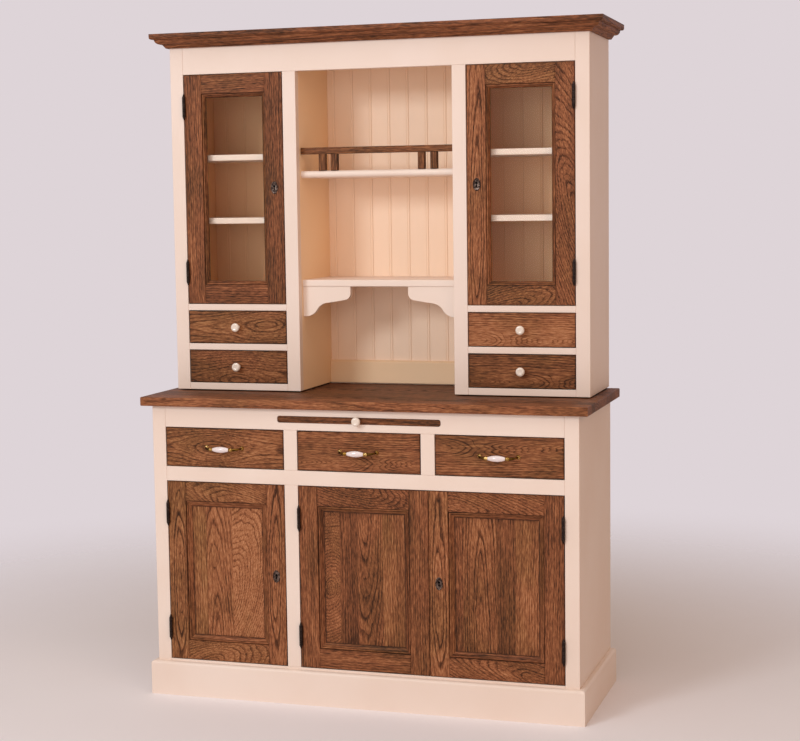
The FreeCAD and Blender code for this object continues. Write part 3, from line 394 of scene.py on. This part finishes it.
# How a board was sawn: the pith's distance aside, as a share of the board's width and in mm, its
# depth below the face in mm, the trunk's rise towards the face and its lean across it, how fast
# the rings in its middle run out, its bend away from the figure's middle in mm, and how dark its
# rings are.
FIGURES = {
    "arches": ((0.0, 0.25), (0, 0), (20, 45), (0.08, 0.15), (0.0, 0.02), 0.0, 0, 1.1),
    "flames": ((0.0, 0.12), (0, 0), (8, 18), (0.06, 0.1), (0.0, 0.02), 0.0, 0, 1.5),
    "eye": ((0.0, 0.0), (0, 0), (18, 21), (0.0, 0.0), (0.0, 0.0), 0.0, 36, 1.0),
    "peaks": ((0.0, 0.02), (0, 0), (6, 10), (0.0, 0.0), (0.0, 0.02), 0.34, 0, 1.2),
    "chevrons": ((0.0, 0.02), (0, 0), (5, 8), (0.0, 0.0), (0.0, 0.02), 0.46, 0, 1.1),
    "sweeps": ((0.2, 0.5), (0, 20), (25, 50), (0.25, 0.4), (0.2, 0.35), 0.0, 0, 1.1),
    "scales": ((0.0, 0.4), (0, 0), (20, 40), (0.6, 0.8), (0.05, 0.1), 0.0, 0, 0.9),
    "straight": ((0.0, 0.0), (60, 110), (10, 40), (0.0, 0.03), (0.0, 0.02), 0.0, 0, 0.8),
}
BEND_REACH = 90 * MM        # how far from the middle of a bent figure half of its bend is reached
BEND_STEP = 8 * MM          # how often a board with a bent figure is cut along its length
TRUNK = 40                  # metres of trunk that the boards come from
TONE_SPREAD = 0.25


class Log:
    """Where a board lay in its tree. Called with a point, it gives the board's corner values: how
    far along the trunk and across from the pith the point is, and where it is on the board.

    turn is 1 where the figure points along the axis and -1 where it points back. at moves the
    figure from the board's middle, by shares of its length and width. One more value says how much
    the edges darken, from staining and from painted shade, and the margin hides that much of the
    board's edges.
    """

    def __init__(self, dice, low, high, along, face, figure, tone=0.0, turn=0, at=(0, 0),
                 cast=None, wear=0.4, margin=0.0):
        self.along, self.face, self.across = along, face, 3 - along - face
        self.middle = self.centre = (low + high) / 2
        shares, distances, depths, rises, leans, runout, bend, self.bold = FIGURES[figure]
        side = dice.choice((-1, 1))
        self.aside = side * (dice.uniform(*shares) * (high - low)[self.across]
                             + dice.uniform(*distances) * MM) + at[1] * (high - low)[self.across]
        self.shift = at[0] * (high - low)[along]
        self.bend = bend * MM
        self.depth = dice.uniform(*depths) * MM
        self.rise = (turn or dice.choice((-1, 1))) * dice.uniform(*rises)
        self.runout = -turn * runout
        self.lean = dice.choice((-1, 1)) * dice.uniform(*leans)
        self.start = dice.uniform(0, TRUNK)
        self.tone = tone + dice.uniform(-TONE_SPREAD, TONE_SPREAD)
        self.cast = dice.random() if cast is None else cast
        self.size = ((high - low)[along] / 2 - margin, (high - low)[self.across] / 2 - margin, wear)

    def toned_down(self, amount):
        darker = copy.copy(self)
        darker.tone -= amount
        return darker

    def grain(self, point):
        p = point - self.middle
        u = p[self.along] - self.shift
        bend = self.bend * u * u / (u * u + BEND_REACH ** 2)
        return (self.start + u, p[self.across] - self.aside - self.lean * u,
                p[self.face] + self.depth + self.rise * u + bend)

    def lost(self, point):
        """How much of the rings in the middle of the figure has run out here."""
        return self.runout * ((point - self.middle)[self.along] - self.shift)

    def spot(self, point):
        p = point - self.centre
        return p[self.along], p[self.across], self.bold


class Piece:
    """One visible piece in the making, from any number of boards, turnings and mouldings."""

    def __init__(self, name, *materials):
        self.name, self.materials = name, materials
        self.dice = random.Random(name)
        self.points, self.faces, self.worn_by = [], [], []
        self.grain, self.spot, self.size = [], [], []
        self.lost, self.tone, self.cast = [], [], []

    def add(self, points, faces, log=None, material=0):
        """log is one Log for all the faces, or a list with one for each."""
        start = len(self.points)
        self.points += points
        logs = log if isinstance(log, list) else [log] * len(faces)
        for corners, own in zip(faces, logs):
            self.faces.append([start + i for i in corners])
            self.worn_by.append(material)
            if own:
                for i in corners:
                    self.grain += own.grain(points[i])
                    self.spot += own.spot(points[i])
                    self.size += own.size
                    self.lost.append(own.lost(points[i]))
                    self.tone.append(own.tone)
                    self.cast.append(own.cast)

    def add_mesh(self, bm, log=None, material=0):
        bm.verts.index_update()
        self.add([v.co.copy() for v in bm.verts], [[v.index for v in f.verts] for f in bm.faces],
                 log, material)
        bm.free()

    def board(self, solid, along, face, figure, tone=0.0, width=EASE_OAK, **sawn):
        """One oak board, its grain along one axis and its show face towards another."""
        log = Log(self.dice, solid.low, solid.high, along, face, figure, tone, **sawn)
        bm = ease(body_mesh(solid), width)
        if log.bend:
            low, long = solid.low[along], (solid.high - solid.low)[along]
            cut(bm, along, [low + k * BEND_STEP for k in range(1, int(long / BEND_STEP))])
        self.add_mesh(bm, log)

    def staves(self, solid, along, face, widths, eased=EASE_OAK, **sawn):
        """One panel or top of glued staves, each from its own log. widths gives each stave's share
        of the width, its figure, its tone and where its figure points."""
        across = 3 - along - face
        low, high = solid.low[across], solid.high[across]
        step = (high - low) / sum(stave[0] for stave in widths)
        logs, joints, start = [], [], low
        for share, figure, tone, turn in widths:
            corner, far = solid.low.copy(), solid.high.copy()
            corner[across], far[across] = start, start + share * step
            log = Log(self.dice, corner, far, along, face, figure, tone, turn, **sawn)
            whole = Log(self.dice, solid.low, solid.high, along, face, figure, **sawn)
            log.centre, log.size = whole.centre, whole.size
            logs.append(log)
            start = far[across]
            joints.append(start)
        bm = ease(body_mesh(solid), eased)
        cut(bm, across, joints[:-1])
        self.add_mesh(bm, [logs[sum(f.calc_center_median()[across] > j for j in joints[:-1])]
                           for f in bm.faces])

    def put(self, body, slot, *stands_for):
        """Makes the object and fits it to the frame."""
        mesh = bpy.data.meshes.new(self.name)
        mesh.from_pydata(self.points, [], self.faces)
        if self.grain:
            for name, values in (("grain", self.grain), ("spot", self.spot), ("size", self.size)):
                data = mesh.attributes.new(name, "FLOAT_VECTOR", "CORNER").data
                data.foreach_set("vector", values)
            for name, values in (("lost", self.lost), ("tone", self.tone), ("cast", self.cast)):
                mesh.attributes.new(name, "FLOAT", "CORNER").data.foreach_set("value", values)
        for material in self.materials:
            mesh.materials.append(material)
        mesh.polygons.foreach_set("material_index", self.worn_by)
        mesh.shade_smooth()
        mesh.set_sharp_from_angle(angle=SHARP_SHADE)
        made = bpy.data.objects.new(self.name, mesh)
        bpy.context.scene.collection.objects.link(made)
        shading = made.modifiers.new("even_faces", "WEIGHTED_NORMAL")
        shading.keep_sharp = True
        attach(made, body)
        if stands_for:
            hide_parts(*stands_for)
        return made


def painted(node, slot, material, width):
    piece = Piece(f"{node}_painted", material)
    for solid in solids(node):
        piece.add_mesh(ease(body_mesh(solid), width))
    piece.put(body_of[node], slot, node)


def make_painted_case():
    for node in ("base_sides", "base_frame_uprights", "base_top_rail", "base_frame_rails", "plinth",
                 "tower_shelves", "bay_shelves", "shelf_brackets"):
        painted(node, "cream_paint", CREAM, EASE_PAINTED)
    # The hutch takes the deeper cream with painted shade.
    for node in ("hutch_frame_uprights", "hutch_frame_rails", "hutch_sides", "hutch_dividers",
                 "hutch_top", "bay_ledge"):
        painted(node, "cream_paint", CREAM_HUTCH_SHADED, EASE_PAINTED)
    for node in ("base_back", "base_partitions", "base_decks", "base_floor_and_shelves",
                 "base_guides", "hutch_drawer_decks"):
        painted(node, "inner_board", CREAM_INSIDE, EASE_INSIDE)


def half_round(across, depth, radius, rise, stain_and_painted_light=0):
    """A bead on a section: its points from one side to the other, each with the same darkening; on a
    moulding's bead it is below nought, a painted highlight.
    """
    return [(across - radius * math.cos(math.pi * k / 8), depth - rise * math.sin(math.pi * k / 8),
             stain_and_painted_light) for k in range(9)]


# The back boards' section in mm: where the bead's middle and the sides of its quirk are from the
# board's edge, and the depths between which the tongue lies.
BEAD_INSET, BEAD_RADIUS, BEAD_HEIGHT = 3.8, 2.9, 1.1
QUIRK_START, QUIRK_END = 8.0, 7.2
TONGUE_FRONT, TONGUE_BACK, TONGUE_REACH = 4, 7, 0.6
BOARDS_OVER_WORKTOP = 0.3 * MM


def make_back_boards():
    """Tongued boards with a bead down one edge, which reach down to the worktop."""
    # Inside the bay and towers their paint carries painted shade and warm bounce light.
    piece = Piece("hutch_back_boards_beaded", CREAM_BACK_SHADED)
    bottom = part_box("worktop")[1].z + BOARDS_OVER_WORKTOP
    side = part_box("hutch_back_boards")[1].x
    for solid in solids("hutch_back_boards"):
        low, high = solid.low, solid.high
        wide, thick = (high.x - low.x) / MM, (high.y - low.y) / MM
        tongue = wide + min(TONGUE_REACH, (side - high.x) / MM)
        outline = [(0, 1.0), (0.9, 0), (wide - QUIRK_START, 0), (wide - QUIRK_END, BEAD_HEIGHT)]
        outline += [(u, v) for u, v, _ in half_round(wide - BEAD_INSET, BEAD_HEIGHT, BEAD_RADIUS,
                                                     BEAD_HEIGHT)]
        outline += [(wide, 1.6), (wide, TONGUE_FRONT), (tongue, TONGUE_FRONT),
                    (tongue, TONGUE_BACK), (wide, TONGUE_BACK), (wide, thick), (0, thick)]
        count = len(outline)
        points = [Vector((low.x + u * MM, low.y + v * MM, z)) for z in (bottom, high.z)
                  for u, v in outline]
        sides = [[k, (k + 1) % count, count + (k + 1) % count, count + k] for k in range(count)]
        ends = [list(range(count))[::-1], list(range(count, 2 * count))]
        piece.add(points, sides + ends)
    piece.put("root", "cream_paint", "hutch_back_boards")


# ---------------------------------------------------------------- oak

def ring(piece, solid, profile, tone):
    """A mitred moulding round the inside of a frame. profile is (inwards, depth, darkening) from the
    outer front corner of the solid in mm, all round its section; the darkening tones the face down
    up to the next point. It is staining and painted shade in the quirks and at the foot of the slope,
    and a painted highlight on the bead, where it is below nought."""
    corners = ((1, 1, solid.low.x, solid.low.z), (-1, 1, solid.high.x, solid.low.z),
               (-1, -1, solid.high.x, solid.high.z), (1, -1, solid.low.x, solid.high.z))
    count = len(profile)
    points = [Vector((x + right * u * MM, solid.low.y + v * MM, z + up * u * MM))
              for right, up, x, z in corners for u, v, _ in profile]
    faces, logs = [], []
    for side in range(4):
        start, end = side * count, (side + 1) % 4 * count
        log = Log(piece.dice, solid.low, solid.high, (X, Z)[side % 2], Y, "straight", tone)
        for k, (_, _, stain_and_painted_light) in enumerate(profile):
            n = (k + 1) % count
            faces.append([start + k, end + k, end + n, start + n])
            logs.append(log.toned_down(stain_and_painted_light))
    piece.add(points, faces, logs)


MOULDING_DARKER = 0.3
BEADING_WIDTH = 18 * MM         # of the panelled doors; it covers that much of the panel's edges


def make_door(door, stiles, rails, tone, panel=None, cast=None):
    """Frame of stiles and rails with a moulding, round a panel of staves or a pane. Each stile
    and rail is (figure, tone, where the figure points)."""
    *frame_boards, beading = solids(f"{door}_frame")
    piece = Piece(f"{door}_frame_oak", OAK)
    for solid, along, (figure, own, turn) in zip(frame_boards, (Z, Z, X, X), stiles + rails):
        piece.board(solid, along, Y, figure, tone + own, turn=turn, wear=0.45, cast=cast)
    moulding = PANEL_MOULDING if panel else GLASS_MOULDING
    ring(piece, beading, moulding, tone - MOULDING_DARKER)
    piece.put(door, "oak", f"{door}_frame")
    if panel:
        inner = Piece(f"{door}_panel_oak", OAK)
        # The panel darkens towards its moulding: staining, and painted shade under the moulding.
        inner.staves(solids(f"{door}_panel")[0], Z, Y,
                     [(share, figure, tone + own, turn) for share, figure, own, turn in panel],
                     wear=0.6, margin=BEADING_WIDTH)
        inner.put(door, "oak", f"{door}_panel")


# Inwards, depth and darkening: a quirk, a bead, a deeper quirk and a steep slope down to the panel.
# The darkening is staining and painted shade in the quirks and at the slope's foot, and below
# nought on the bead, a painted highlight.
PANEL_MOULDING = ([(0, 10, 0), (0, 0.6, 2.0), (0.7, 2.4, 3.0), (1.6, 2.4, 1.0)]
                  + half_round(4.0, 1.2, 2.3, 1.2, -0.2)
                  + [(6.6, 3.0, 2.5), (7.2, 1.4, 0.0), (7.8, 1.5, 0.2), (15.0, 8.8, 0.6),
                     (15.6, 9.4, 3.0), (18, 9.4, 3), (18, 10, 0)])
GLASS_MOULDING = ([(0, 10, 0), (0, 0.6, 2.0), (0.5, 2.2, 3.0), (1.3, 2.2, 1.0)]
                  + half_round(3.2, 1.0, 1.9, 1.0, -0.4)
                  + [(5.3, 3.0, 2.5), (5.8, 1.4, 0.0), (6.3, 1.5, 0.3), (11.0, 7.8, 0.8),
                     (11.3, 8.4, 3.0), (12, 8.4, 3), (12, 10, 0)])


def make_drawer(node, figure, tone, at):
    """An oak front on a painted box."""
    front, *box = solids(node)
    face = Piece(f"{node}_front_oak", OAK)
    # The front's edges darken fully: staining, and painted shade of the gap round it.
    face.board(front, X, Y, figure, tone, 1.6 * MM, turn=1, at=at, wear=1.0)
    face.put(node, "oak", node)
    inside = Piece(f"{node}_box", CREAM_INSIDE)
    for board in box:
        inside.add_mesh(ease(body_mesh(board), EASE_INSIDE))
    inside.put(node, "inner_board", node)


def make_oak():
    make_door("left_cupboard_door", [("flames", 0.1, 1), ("flames", -0.3, -1)],
              [("sweeps", 0.0, 1), ("sweeps", 0.2, -1)], 0.6,
              [(0.26, "straight", 0.2, 1), (0.36, "arches", 0.5, 1), (0.5, "sweeps", 0.6, 1)])
    make_door("middle_cupboard_door", [("straight", -0.5, 1), ("straight", -0.5, 1)],
              [("straight", -0.1, 1), ("sweeps", -0.2, 1)], -0.05,
              [(0.25, "scales", 0.4, 1), (0.22, "straight", -1.2, 1), (0.3, "arches", -0.3, -1),
               (0.33, "straight", 0.4, 1)])
    make_door("right_cupboard_door", [("flames", 0.7, -1), ("straight", -0.2, 1)],
              [("sweeps", 0.0, -1), ("sweeps", 0.3, 1)], -0.1,
              [(0.14, "straight", -0.7, 1), (0.34, "flames", 0.2, 1), (0.2, "straight", -0.6, 1),
               (0.3, "straight", 0.6, 1)])
    make_door("left_glass_door", [("straight", -0.3, 1), ("straight", -0.7, 1)],
              [("straight", -0.3, 1), ("straight", -0.2, 1)], -0.4, cast=0.3)
    make_door("right_glass_door", [("flames", 0.4, 1), ("sweeps", 0.0, 1)],
              [("sweeps", 0.1, 1), ("sweeps", 0.3, -1)], 0.0)
    for node, figure, tone, at in (("left_drawer", "eye", 0.7, (-0.1, 0.0)),
                                   ("middle_drawer", "chevrons", 0.4, (0.0, -0.28)),
                                   ("right_drawer", "peaks", 0.3, (-0.35, 0.22)),
                                   ("upper_left_drawer", "eye", 0.5, (0.3, 0.05)),
                                   ("lower_left_drawer", "eye", 0.2, (0.0, -0.4)),
                                   ("upper_right_drawer", "chevrons", 1.5, (-0.3, -0.3)),
                                   ("lower_right_drawer", "chevrons", -0.3, (0.15, -0.32))):
        make_drawer(node, figure, tone, at)

    top = Piece("worktop_oak", OAK)
    # The staves behind the front one are toned darker, so that the top reads darker than its front
    # edge: painted shade.
    top.staves(solids("worktop")[0], X, Z,
               [(0.5, "straight", -0.2, 1), (1.0, "arches", -1.2, 1), (1.1, "straight", -1.0, 1),
                (0.9, "arches", -1.3, -1), (1.0, "straight", -1.1, 1)], 1.5 * MM, wear=0.0)
    top.put("root", "oak", "worktop")

    cornice = Piece("cornice_oak", OAK)
    for solid, along in zip(solids("cornice"), (X, Y, Y)):
        cornice.board(solid, along, Z, "straight", -0.2, 0.6 * MM)
    cornice.put("root", "oak", "cornice")

    gallery = Piece("plate_gallery_oak", OAK)
    for solid, along in zip(solids("plate_gallery"), (X, Z, Z, Z, Z)):
        gallery.board(solid, along, Y, "straight", -0.6, cast=1.0)
    gallery.put("root", "oak", "plate_gallery")

    tray = Piece("pull_out_board_oak", OAK)
    tray.staves(solids("pull_out_board")[0], X, Z,
                [(1, "straight", -0.3, 1), (1, "arches", -0.1, 1), (1, "straight", -0.5, 1),
                 (1, "arches", -0.2, -1)])
    tray.put("pull_out_board", "oak", "pull_out_board")


# ---------------------------------------------------------------- metalwork and porcelain

def basis(axis):
    """Two directions square to axis."""
    first = axis.orthogonal().normalized()
    return first, axis.cross(first)


def turned(piece, origin, axis, profile, steps=28, material=0):
    """A turning from (radius, height) pairs in mm; it starts and ends on the axis."""
    first, second = basis(axis)
    points, rows = [], []
    for radius, height in profile:
        centre = origin + axis * height * MM
        if radius == 0:
            rows.append([len(points)] * steps)
            points.append(centre)
            continue
        rows.append([len(points) + k for k in range(steps)])
        points += [centre + (first * math.cos(a) + second * math.sin(a)) * radius * MM
                   for a in [2 * math.pi * k / steps for k in range(steps)]]
    faces = []
    for low, high in zip(rows, rows[1:]):
        for k in range(steps):
            n = (k + 1) % steps
            corners = [low[k], low[n], high[n], high[k]]
            faces.append([c for i, c in enumerate(corners) if c not in corners[:i]])
    piece.add(points, faces, material=material)


def swept(piece, path, radii, steps=20, material=0):
    """A round bar through the points of path, radii in mm, closed at both ends."""
    points, rows = [], []
    side = None
    for k, (centre, radius) in enumerate(zip(path, radii)):
        along = (path[min(k + 1, len(path) - 1)] - path[max(k - 1, 0)]).normalized()
        if side is None:
            side = along.orthogonal().normalized()
        else:
            side = (side - along * side.dot(along)).normalized()
        other = along.cross(side)
        rows.append([len(points) + n for n in range(steps)])
        points += [centre + (side * math.cos(a) + other * math.sin(a)) * radius * MM
                   for a in [2 * math.pi * n / steps for n in range(steps)]]
    faces = [[low[n], low[(n + 1) % steps], high[(n + 1) % steps], high[n]]
             for low, high in zip(rows, rows[1:]) for n in range(steps)]
    faces += [rows[0][::-1], rows[-1]]
    piece.add(points, faces, material=material)


def curve(points, count):
    """count points along a smooth curve through four control points."""
    a, b, c, d = points
    found = []
    for k in range(count):
        t = k / (count - 1)
        s = 1 - t
        found.append(a * s ** 3 + b * 3 * s * s * t + c * 3 * s * t * t + d * t ** 3)
    return found


# Radius and height in mm: a handle's domed foot, and its ferrule with the bead beyond it.
FOOT = [(0, 0), (6.8, 0), (6.8, 1.2), (6.3, 1.7), (5.9, 1.9), (5.7, 2.6), (5.2, 4.0), (4.3, 5.2),
        (3.0, 6.1), (1.6, 6.6), (0, 6.8)]
FERRULE = [(0, 0), (5.4, 0), (5.6, 0.6), (5.6, 1.6), (4.7, 2.2), (4.7, 2.8), (5.6, 3.6),
           (6.0, 5.4), (6.0, 7.4), (5.5, 9.4), (4.4, 11.2), (2.4, 12.4), (0, 12.8)]
FOOT_RISE = 2 * MM              # how far the feet stand above the grip's axis
ARM_STEPS, ARM_RADIUS, ARM_FLARE = 12, 2.6, 2.2
GRIP_STEPS, GRIP_TIP = 24, 3.6


def make_bow_handle(node):
    """Two domed feet, beads and ferrules of antique brass round a porcelain grip, and flaring arms of
    a darker brass, which is a painted dark reflection.
    """
    grip_low, grip_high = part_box(f"{node}_grip")
    foot_low, foot_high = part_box(f"{node}_brass")
    centre = (grip_low + grip_high) / 2
    face = foot_high.y
    foot_radius = FOOT[1][0] * MM
    piece = Piece(f"{node}_bow", BRASS, SHADED_BRASS)
    for side in (-1, 1):
        out = Vector((side, 0, 0))
        foot = Vector((centre.x + side * ((foot_high.x - foot_low.x) / 2 - foot_radius), face,
                       centre.z + FOOT_RISE))
        turned(piece, foot, FORWARD, FOOT)
        ferrule = Vector((centre.x + side * (grip_high.x - grip_low.x) / 2, centre.y, centre.z))
        tip = ferrule + out * 6 * MM
        arm = curve([foot + FORWARD * 3 * MM, foot + FORWARD * 12 * MM,
                     tip + out * 15 * MM + FORWARD * -1 * MM, tip], ARM_STEPS)
        # The arms take the darker brass, a painted dark reflection.
        swept(piece, arm, [ARM_RADIUS + ARM_FLARE * (k / (ARM_STEPS - 1)) ** 1.3
                           for k in range(ARM_STEPS)], material=1)
        turned(piece, ferrule - out * 1.2 * MM, out, FERRULE)
    piece.put(body_of[f"{node}_brass"], "antique_brass", f"{node}_brass")
    grip = Piece(f"{node}_porcelain", PORCELAIN)
    long, thick = (grip_high.x - grip_low.x) / MM, (grip_high.z - grip_low.z) / 2 / MM
    shape = [(GRIP_TIP + (thick - GRIP_TIP) * math.sin(math.pi * k / GRIP_STEPS) ** 0.8,
              long * k / GRIP_STEPS) for k in range(GRIP_STEPS + 1)]
    turned(grip, Vector((grip_low.x, centre.y, centre.z)), Vector((1, 0, 0)),
           [(0, 0)] + shape + [(0, long)], 36)
    grip.put(body_of[f"{node}_grip"], "porcelain", f"{node}_grip")


# Radius and height from the drawer's face in mm: a foot, a neck and a head with a dished face.
KNOB = [(0, 0), (7.6, 0), (7.6, 1.6), (7.0, 2.2), (6.2, 2.6), (6.0, 6.0), (6.4, 9.0), (7.8, 12.0),
        (10.8, 14.0), (12.6, 15.4), (13.4, 17.0), (13.4, 19.0), (12.7, 21.0), (11.4, 22.6),
        (9.6, 23.7), (7.8, 24.0), (6.4, 23.6), (4.0, 23.1), (2.0, 22.9), (0, 22.9)]


def make_knob(node):
    low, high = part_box(node)
    centre = (low + high) / 2
    knob = Piece(f"{node}_turned", CREAM_PORCELAIN)
    turned(knob, Vector((centre.x, high.y, centre.z)), FORWARD, KNOB, 40)
    knob.put(body_of[node], "porcelain", node)


def dress(node, material):
    """The CAD node as it is, in a better material."""
    for place in nodes[node].material_slots:
        place.material = material


# The keyhole in mm from the middle of its plate: a round hole over a slot.
HOLE_RISE, HOLE_RADIUS = 4.1, 3.8
SLOT_HALF_WIDTH, SLOT_DROP = 2.0, 7.9
LEAST_REACH = 0.8
# The plate round it: the share of its half width and height, and the height in half thicknesses.
PLATE = ((1.0, 0.0), (1.0, 0.9), (0.94, 1.6), (0.86, 2.0), (0.78, 1.5), (0.73, 1.0), (0.62, 1.1))
PLATE_STEPS, PLATE_POINT = 48, 1.12


def keyhole_reach(angle):
    """How far the keyhole reaches from the middle of its plate at this angle, in mm."""
    right, up = math.cos(angle), math.sin(angle)
    reach = HOLE_RISE * up + math.sqrt(max(0.0, HOLE_RADIUS ** 2 - (HOLE_RISE * right) ** 2))
    if up < 0:
        reach = max(reach, min(SLOT_HALF_WIDTH / max(abs(right), 1e-6), SLOT_DROP / -up))
    return max(reach, LEAST_REACH)


def make_ironwork(door):
    """The door's hinge leaves and lock, and the plate round its keyhole, which a near black disc of
    painted shade closes.
    """
    node = f"{door}_ironwork"
    parts = solids(node)
    piece = Piece(f"{door}_hinge_leaves", BLACK_IRON)
    for solid in parts[:2] + parts[3:]:
        piece.add_mesh(body_mesh(solid))
    piece.put(body_of[node], "black_iron", node)
    if len(parts) < 3:
        return
    plate = parts[2]
    steps = PLATE_STEPS
    angles = [2 * math.pi * (k + 0.5) / steps for k in range(steps)]
    half, tall = (plate.high.x - plate.low.x) / 2 / MM, (plate.high.z - plate.low.z) / 2 / MM
    proud = (plate.high.y - plate.low.y) / MM
    rows = [[(half * share * math.copysign(abs(math.cos(a)) ** PLATE_POINT, math.cos(a)),
              tall * share * math.sin(a), height * proud / 2) for a in angles]
            for share, height in PLATE]
    rows += [[(keyhole_reach(a) * math.cos(a), keyhole_reach(a) * math.sin(a),
               height * proud / 2) for a in angles] for height in (PLATE[-1][1], 0.0)]
    points = [Vector((plate.middle.x + x * MM, plate.high.y - y * MM, plate.middle.z + z * MM))
              for row in rows for x, z, y in row]
    faces = [[r * steps + k, (r + 1) % len(rows) * steps + k,
              (r + 1) % len(rows) * steps + (k + 1) % steps, r * steps + (k + 1) % steps]
             for r in range(len(rows)) for k in range(steps)]
    cover = Piece(f"{door}_escutcheon", PEWTER, KEYHOLE_SHADE)
    cover.add(points, faces)
    # A near black disc of painted shade closes the keyhole.
    cover.add([p - FORWARD * 0.1 * MM for p in points[-steps:]], [list(range(steps))], material=1)
    cover.put(body_of[node], "black_iron", node)


def make_metalwork():
    for node in ("left_handle", "middle_handle", "right_handle"):
        make_bow_handle(node)
    for door in ("left_cupboard_door", "middle_cupboard_door", "right_cupboard_door",
                 "left_glass_door", "right_glass_door"):
        make_ironwork(door)
    dress("frame_hinges", BLACK_IRON)
    for node in ("board_knob", "upper_left_knob", "lower_left_knob", "upper_right_knob",
                 "lower_right_knob"):
        make_knob(node)
    for side in ("left", "right"):
        dress(f"{side}_glass_door_glass", GLASS)
    dress("hutch_pads", FELT)


# ---------------------------------------------------------------- stage, light and camera

BACKGROUND = srgb(222, 212, 216)
FLOOR, FLOOR_DEEPER = srgb(244, 239, 242), srgb(240, 234, 237)
FLOOR_RADIUS, FADE_START, FADE_END = 12.0, 0.9, 3.4
WARM_LIGHT = (1.0, 0.74, 0.55, 1)
COOL, PALE, WARM = (0.88, 0.95, 1.0), (0.9, 0.96, 1.0), (1, 0.60, 0.36)
YAW, PITCH, ROLL = (math.radians(angle) for angle in (-17.388, -5.589, -0.76))
EYE = (1.6142, -4.735, 1.4912)          # from the middle of the base's front, at the floor
SENSOR, LENS, CLIP_END = 36, 77.85, 60


def make_stage():
    """A pale floor that fades into the plain background round it."""
    bm = bmesh.new()
    bmesh.ops.create_circle(bm, cap_ends=True, radius=FLOOR_RADIUS, segments=96)
    mesh = bpy.data.meshes.new("floor")
    bm.to_mesh(mesh)
    bm.free()
    floor = bpy.data.objects.new("floor", mesh)
    bpy.context.scene.collection.objects.link(floor)
    g = Graph("pale_floor")
    place = g.place()
    g.surface(Base_Color=g.mix(g.noise(place, 1.4, 3.0), FLOOR, FLOOR_DEEPER), Roughness=0.7)
    fade = g.smooth(g.vector("LENGTH", place), FADE_START, FADE_END)
    seen = g.node("LightPath").outputs["Is Camera Ray"]
    clear = g.node("BsdfTransparent")
    both = g.node("MixShader", {0: g.math("MULTIPLY", fade, seen), 1: g.shader.outputs[0],
                                2: clear.outputs[0]})
    g.feed(g.output.inputs["Surface"], both.outputs[0])
    mesh.materials.append(g.material)


def make_world(strength):
    """Even light from all round, and the plain background where it is seen."""
    world = bpy.data.worlds.new("studio")
    bpy.context.scene.world = world
    world.use_nodes = True
    tree = world.node_tree
    light = tree.nodes["Background"]
    light.inputs["Color"].default_value = WARM_LIGHT
    light.inputs["Strength"].default_value = strength
    shown = tree.nodes.new("ShaderNodeBackground")
    shown.inputs["Color"].default_value = BACKGROUND
    rays = tree.nodes.new("ShaderNodeLightPath").outputs
    seen = rays["Is Camera Ray"]
    for name in ("Is Glossy Ray", "Is Transmission Ray"):
        either = tree.nodes.new("ShaderNodeMath")
        either.operation = "MAXIMUM"
        tree.links.new(seen, either.inputs[0])
        tree.links.new(rays[name], either.inputs[1])
        seen = either.outputs[0]
    both = tree.nodes.new("ShaderNodeMixShader")
    tree.links.new(seen, both.inputs[0])
    tree.links.new(light.outputs[0], both.inputs[1])
    tree.links.new(shown.outputs[0], both.inputs[2])
    tree.links.new(both.outputs[0], tree.nodes["World Output"].inputs["Surface"])


def make_lamp(name, place, target, width, height, watts, colour, mirrored=True):
    data = bpy.data.lights.new(name, "AREA")
    data.shape, data.size, data.size_y = "RECTANGLE", width, height
    data.energy, data.color = watts, colour
    lamp = bpy.data.objects.new(name, data)
    lamp.location, lamp.visible_glossy = place, mirrored
    lamp.rotation_euler = (Vector(target) - Vector(place)).to_track_quat("-Z", "Y").to_euler()
    bpy.context.scene.collection.objects.link(lamp)


def make_camera():
    """The viewpoint, given from the middle of the base's front."""
    ahead = Vector((math.sin(YAW) * math.cos(PITCH), math.cos(YAW) * math.cos(PITCH),
                    math.sin(PITCH)))
    right = Vector((math.cos(YAW), -math.sin(YAW), 0))
    up = right.cross(ahead)
    leaning = math.cos(ROLL) * right + math.sin(ROLL) * up
    upright = math.cos(ROLL) * up - math.sin(ROLL) * right
    data = bpy.data.cameras.new("camera")
    data.sensor_width, data.lens, data.clip_end = SENSOR, LENS, CLIP_END
    camera = bpy.data.objects.new("camera", data)
    base_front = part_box("base_top_rail")[0].y
    turn = Matrix((leaning, upright, -ahead)).transposed().to_4x4()
    camera.matrix_world = Matrix.Translation((EYE[X], base_front + EYE[Y], EYE[Z])) @ turn
    bpy.context.scene.collection.objects.link(camera)
    bpy.context.scene.camera = camera


make_painted_case()
make_back_boards()
make_oak()
make_metalwork()
make_stage()
make_world(0.36)
make_lamp("key", (-2.4, -5.6, 3.4), (0, 0, 1.1), 1.6, 1.3, 129, COOL)
make_lamp("front", (0.2, -6.6, 1.9), (0, 0, 1.1), 3.4, 2.6, 62, COOL, mirrored=False)
make_lamp("fill", (4.2, -3.4, 3.0), (0, 0, 1.0), 2.4, 2.4, 37, WARM)
make_lamp("overhead", (0, -2.0, 5.2), (0, -0.4, 0), 4.0, 4.0, 80, PALE)
make_camera()
bpy.context.scene.view_settings.view_transform = "Standard"
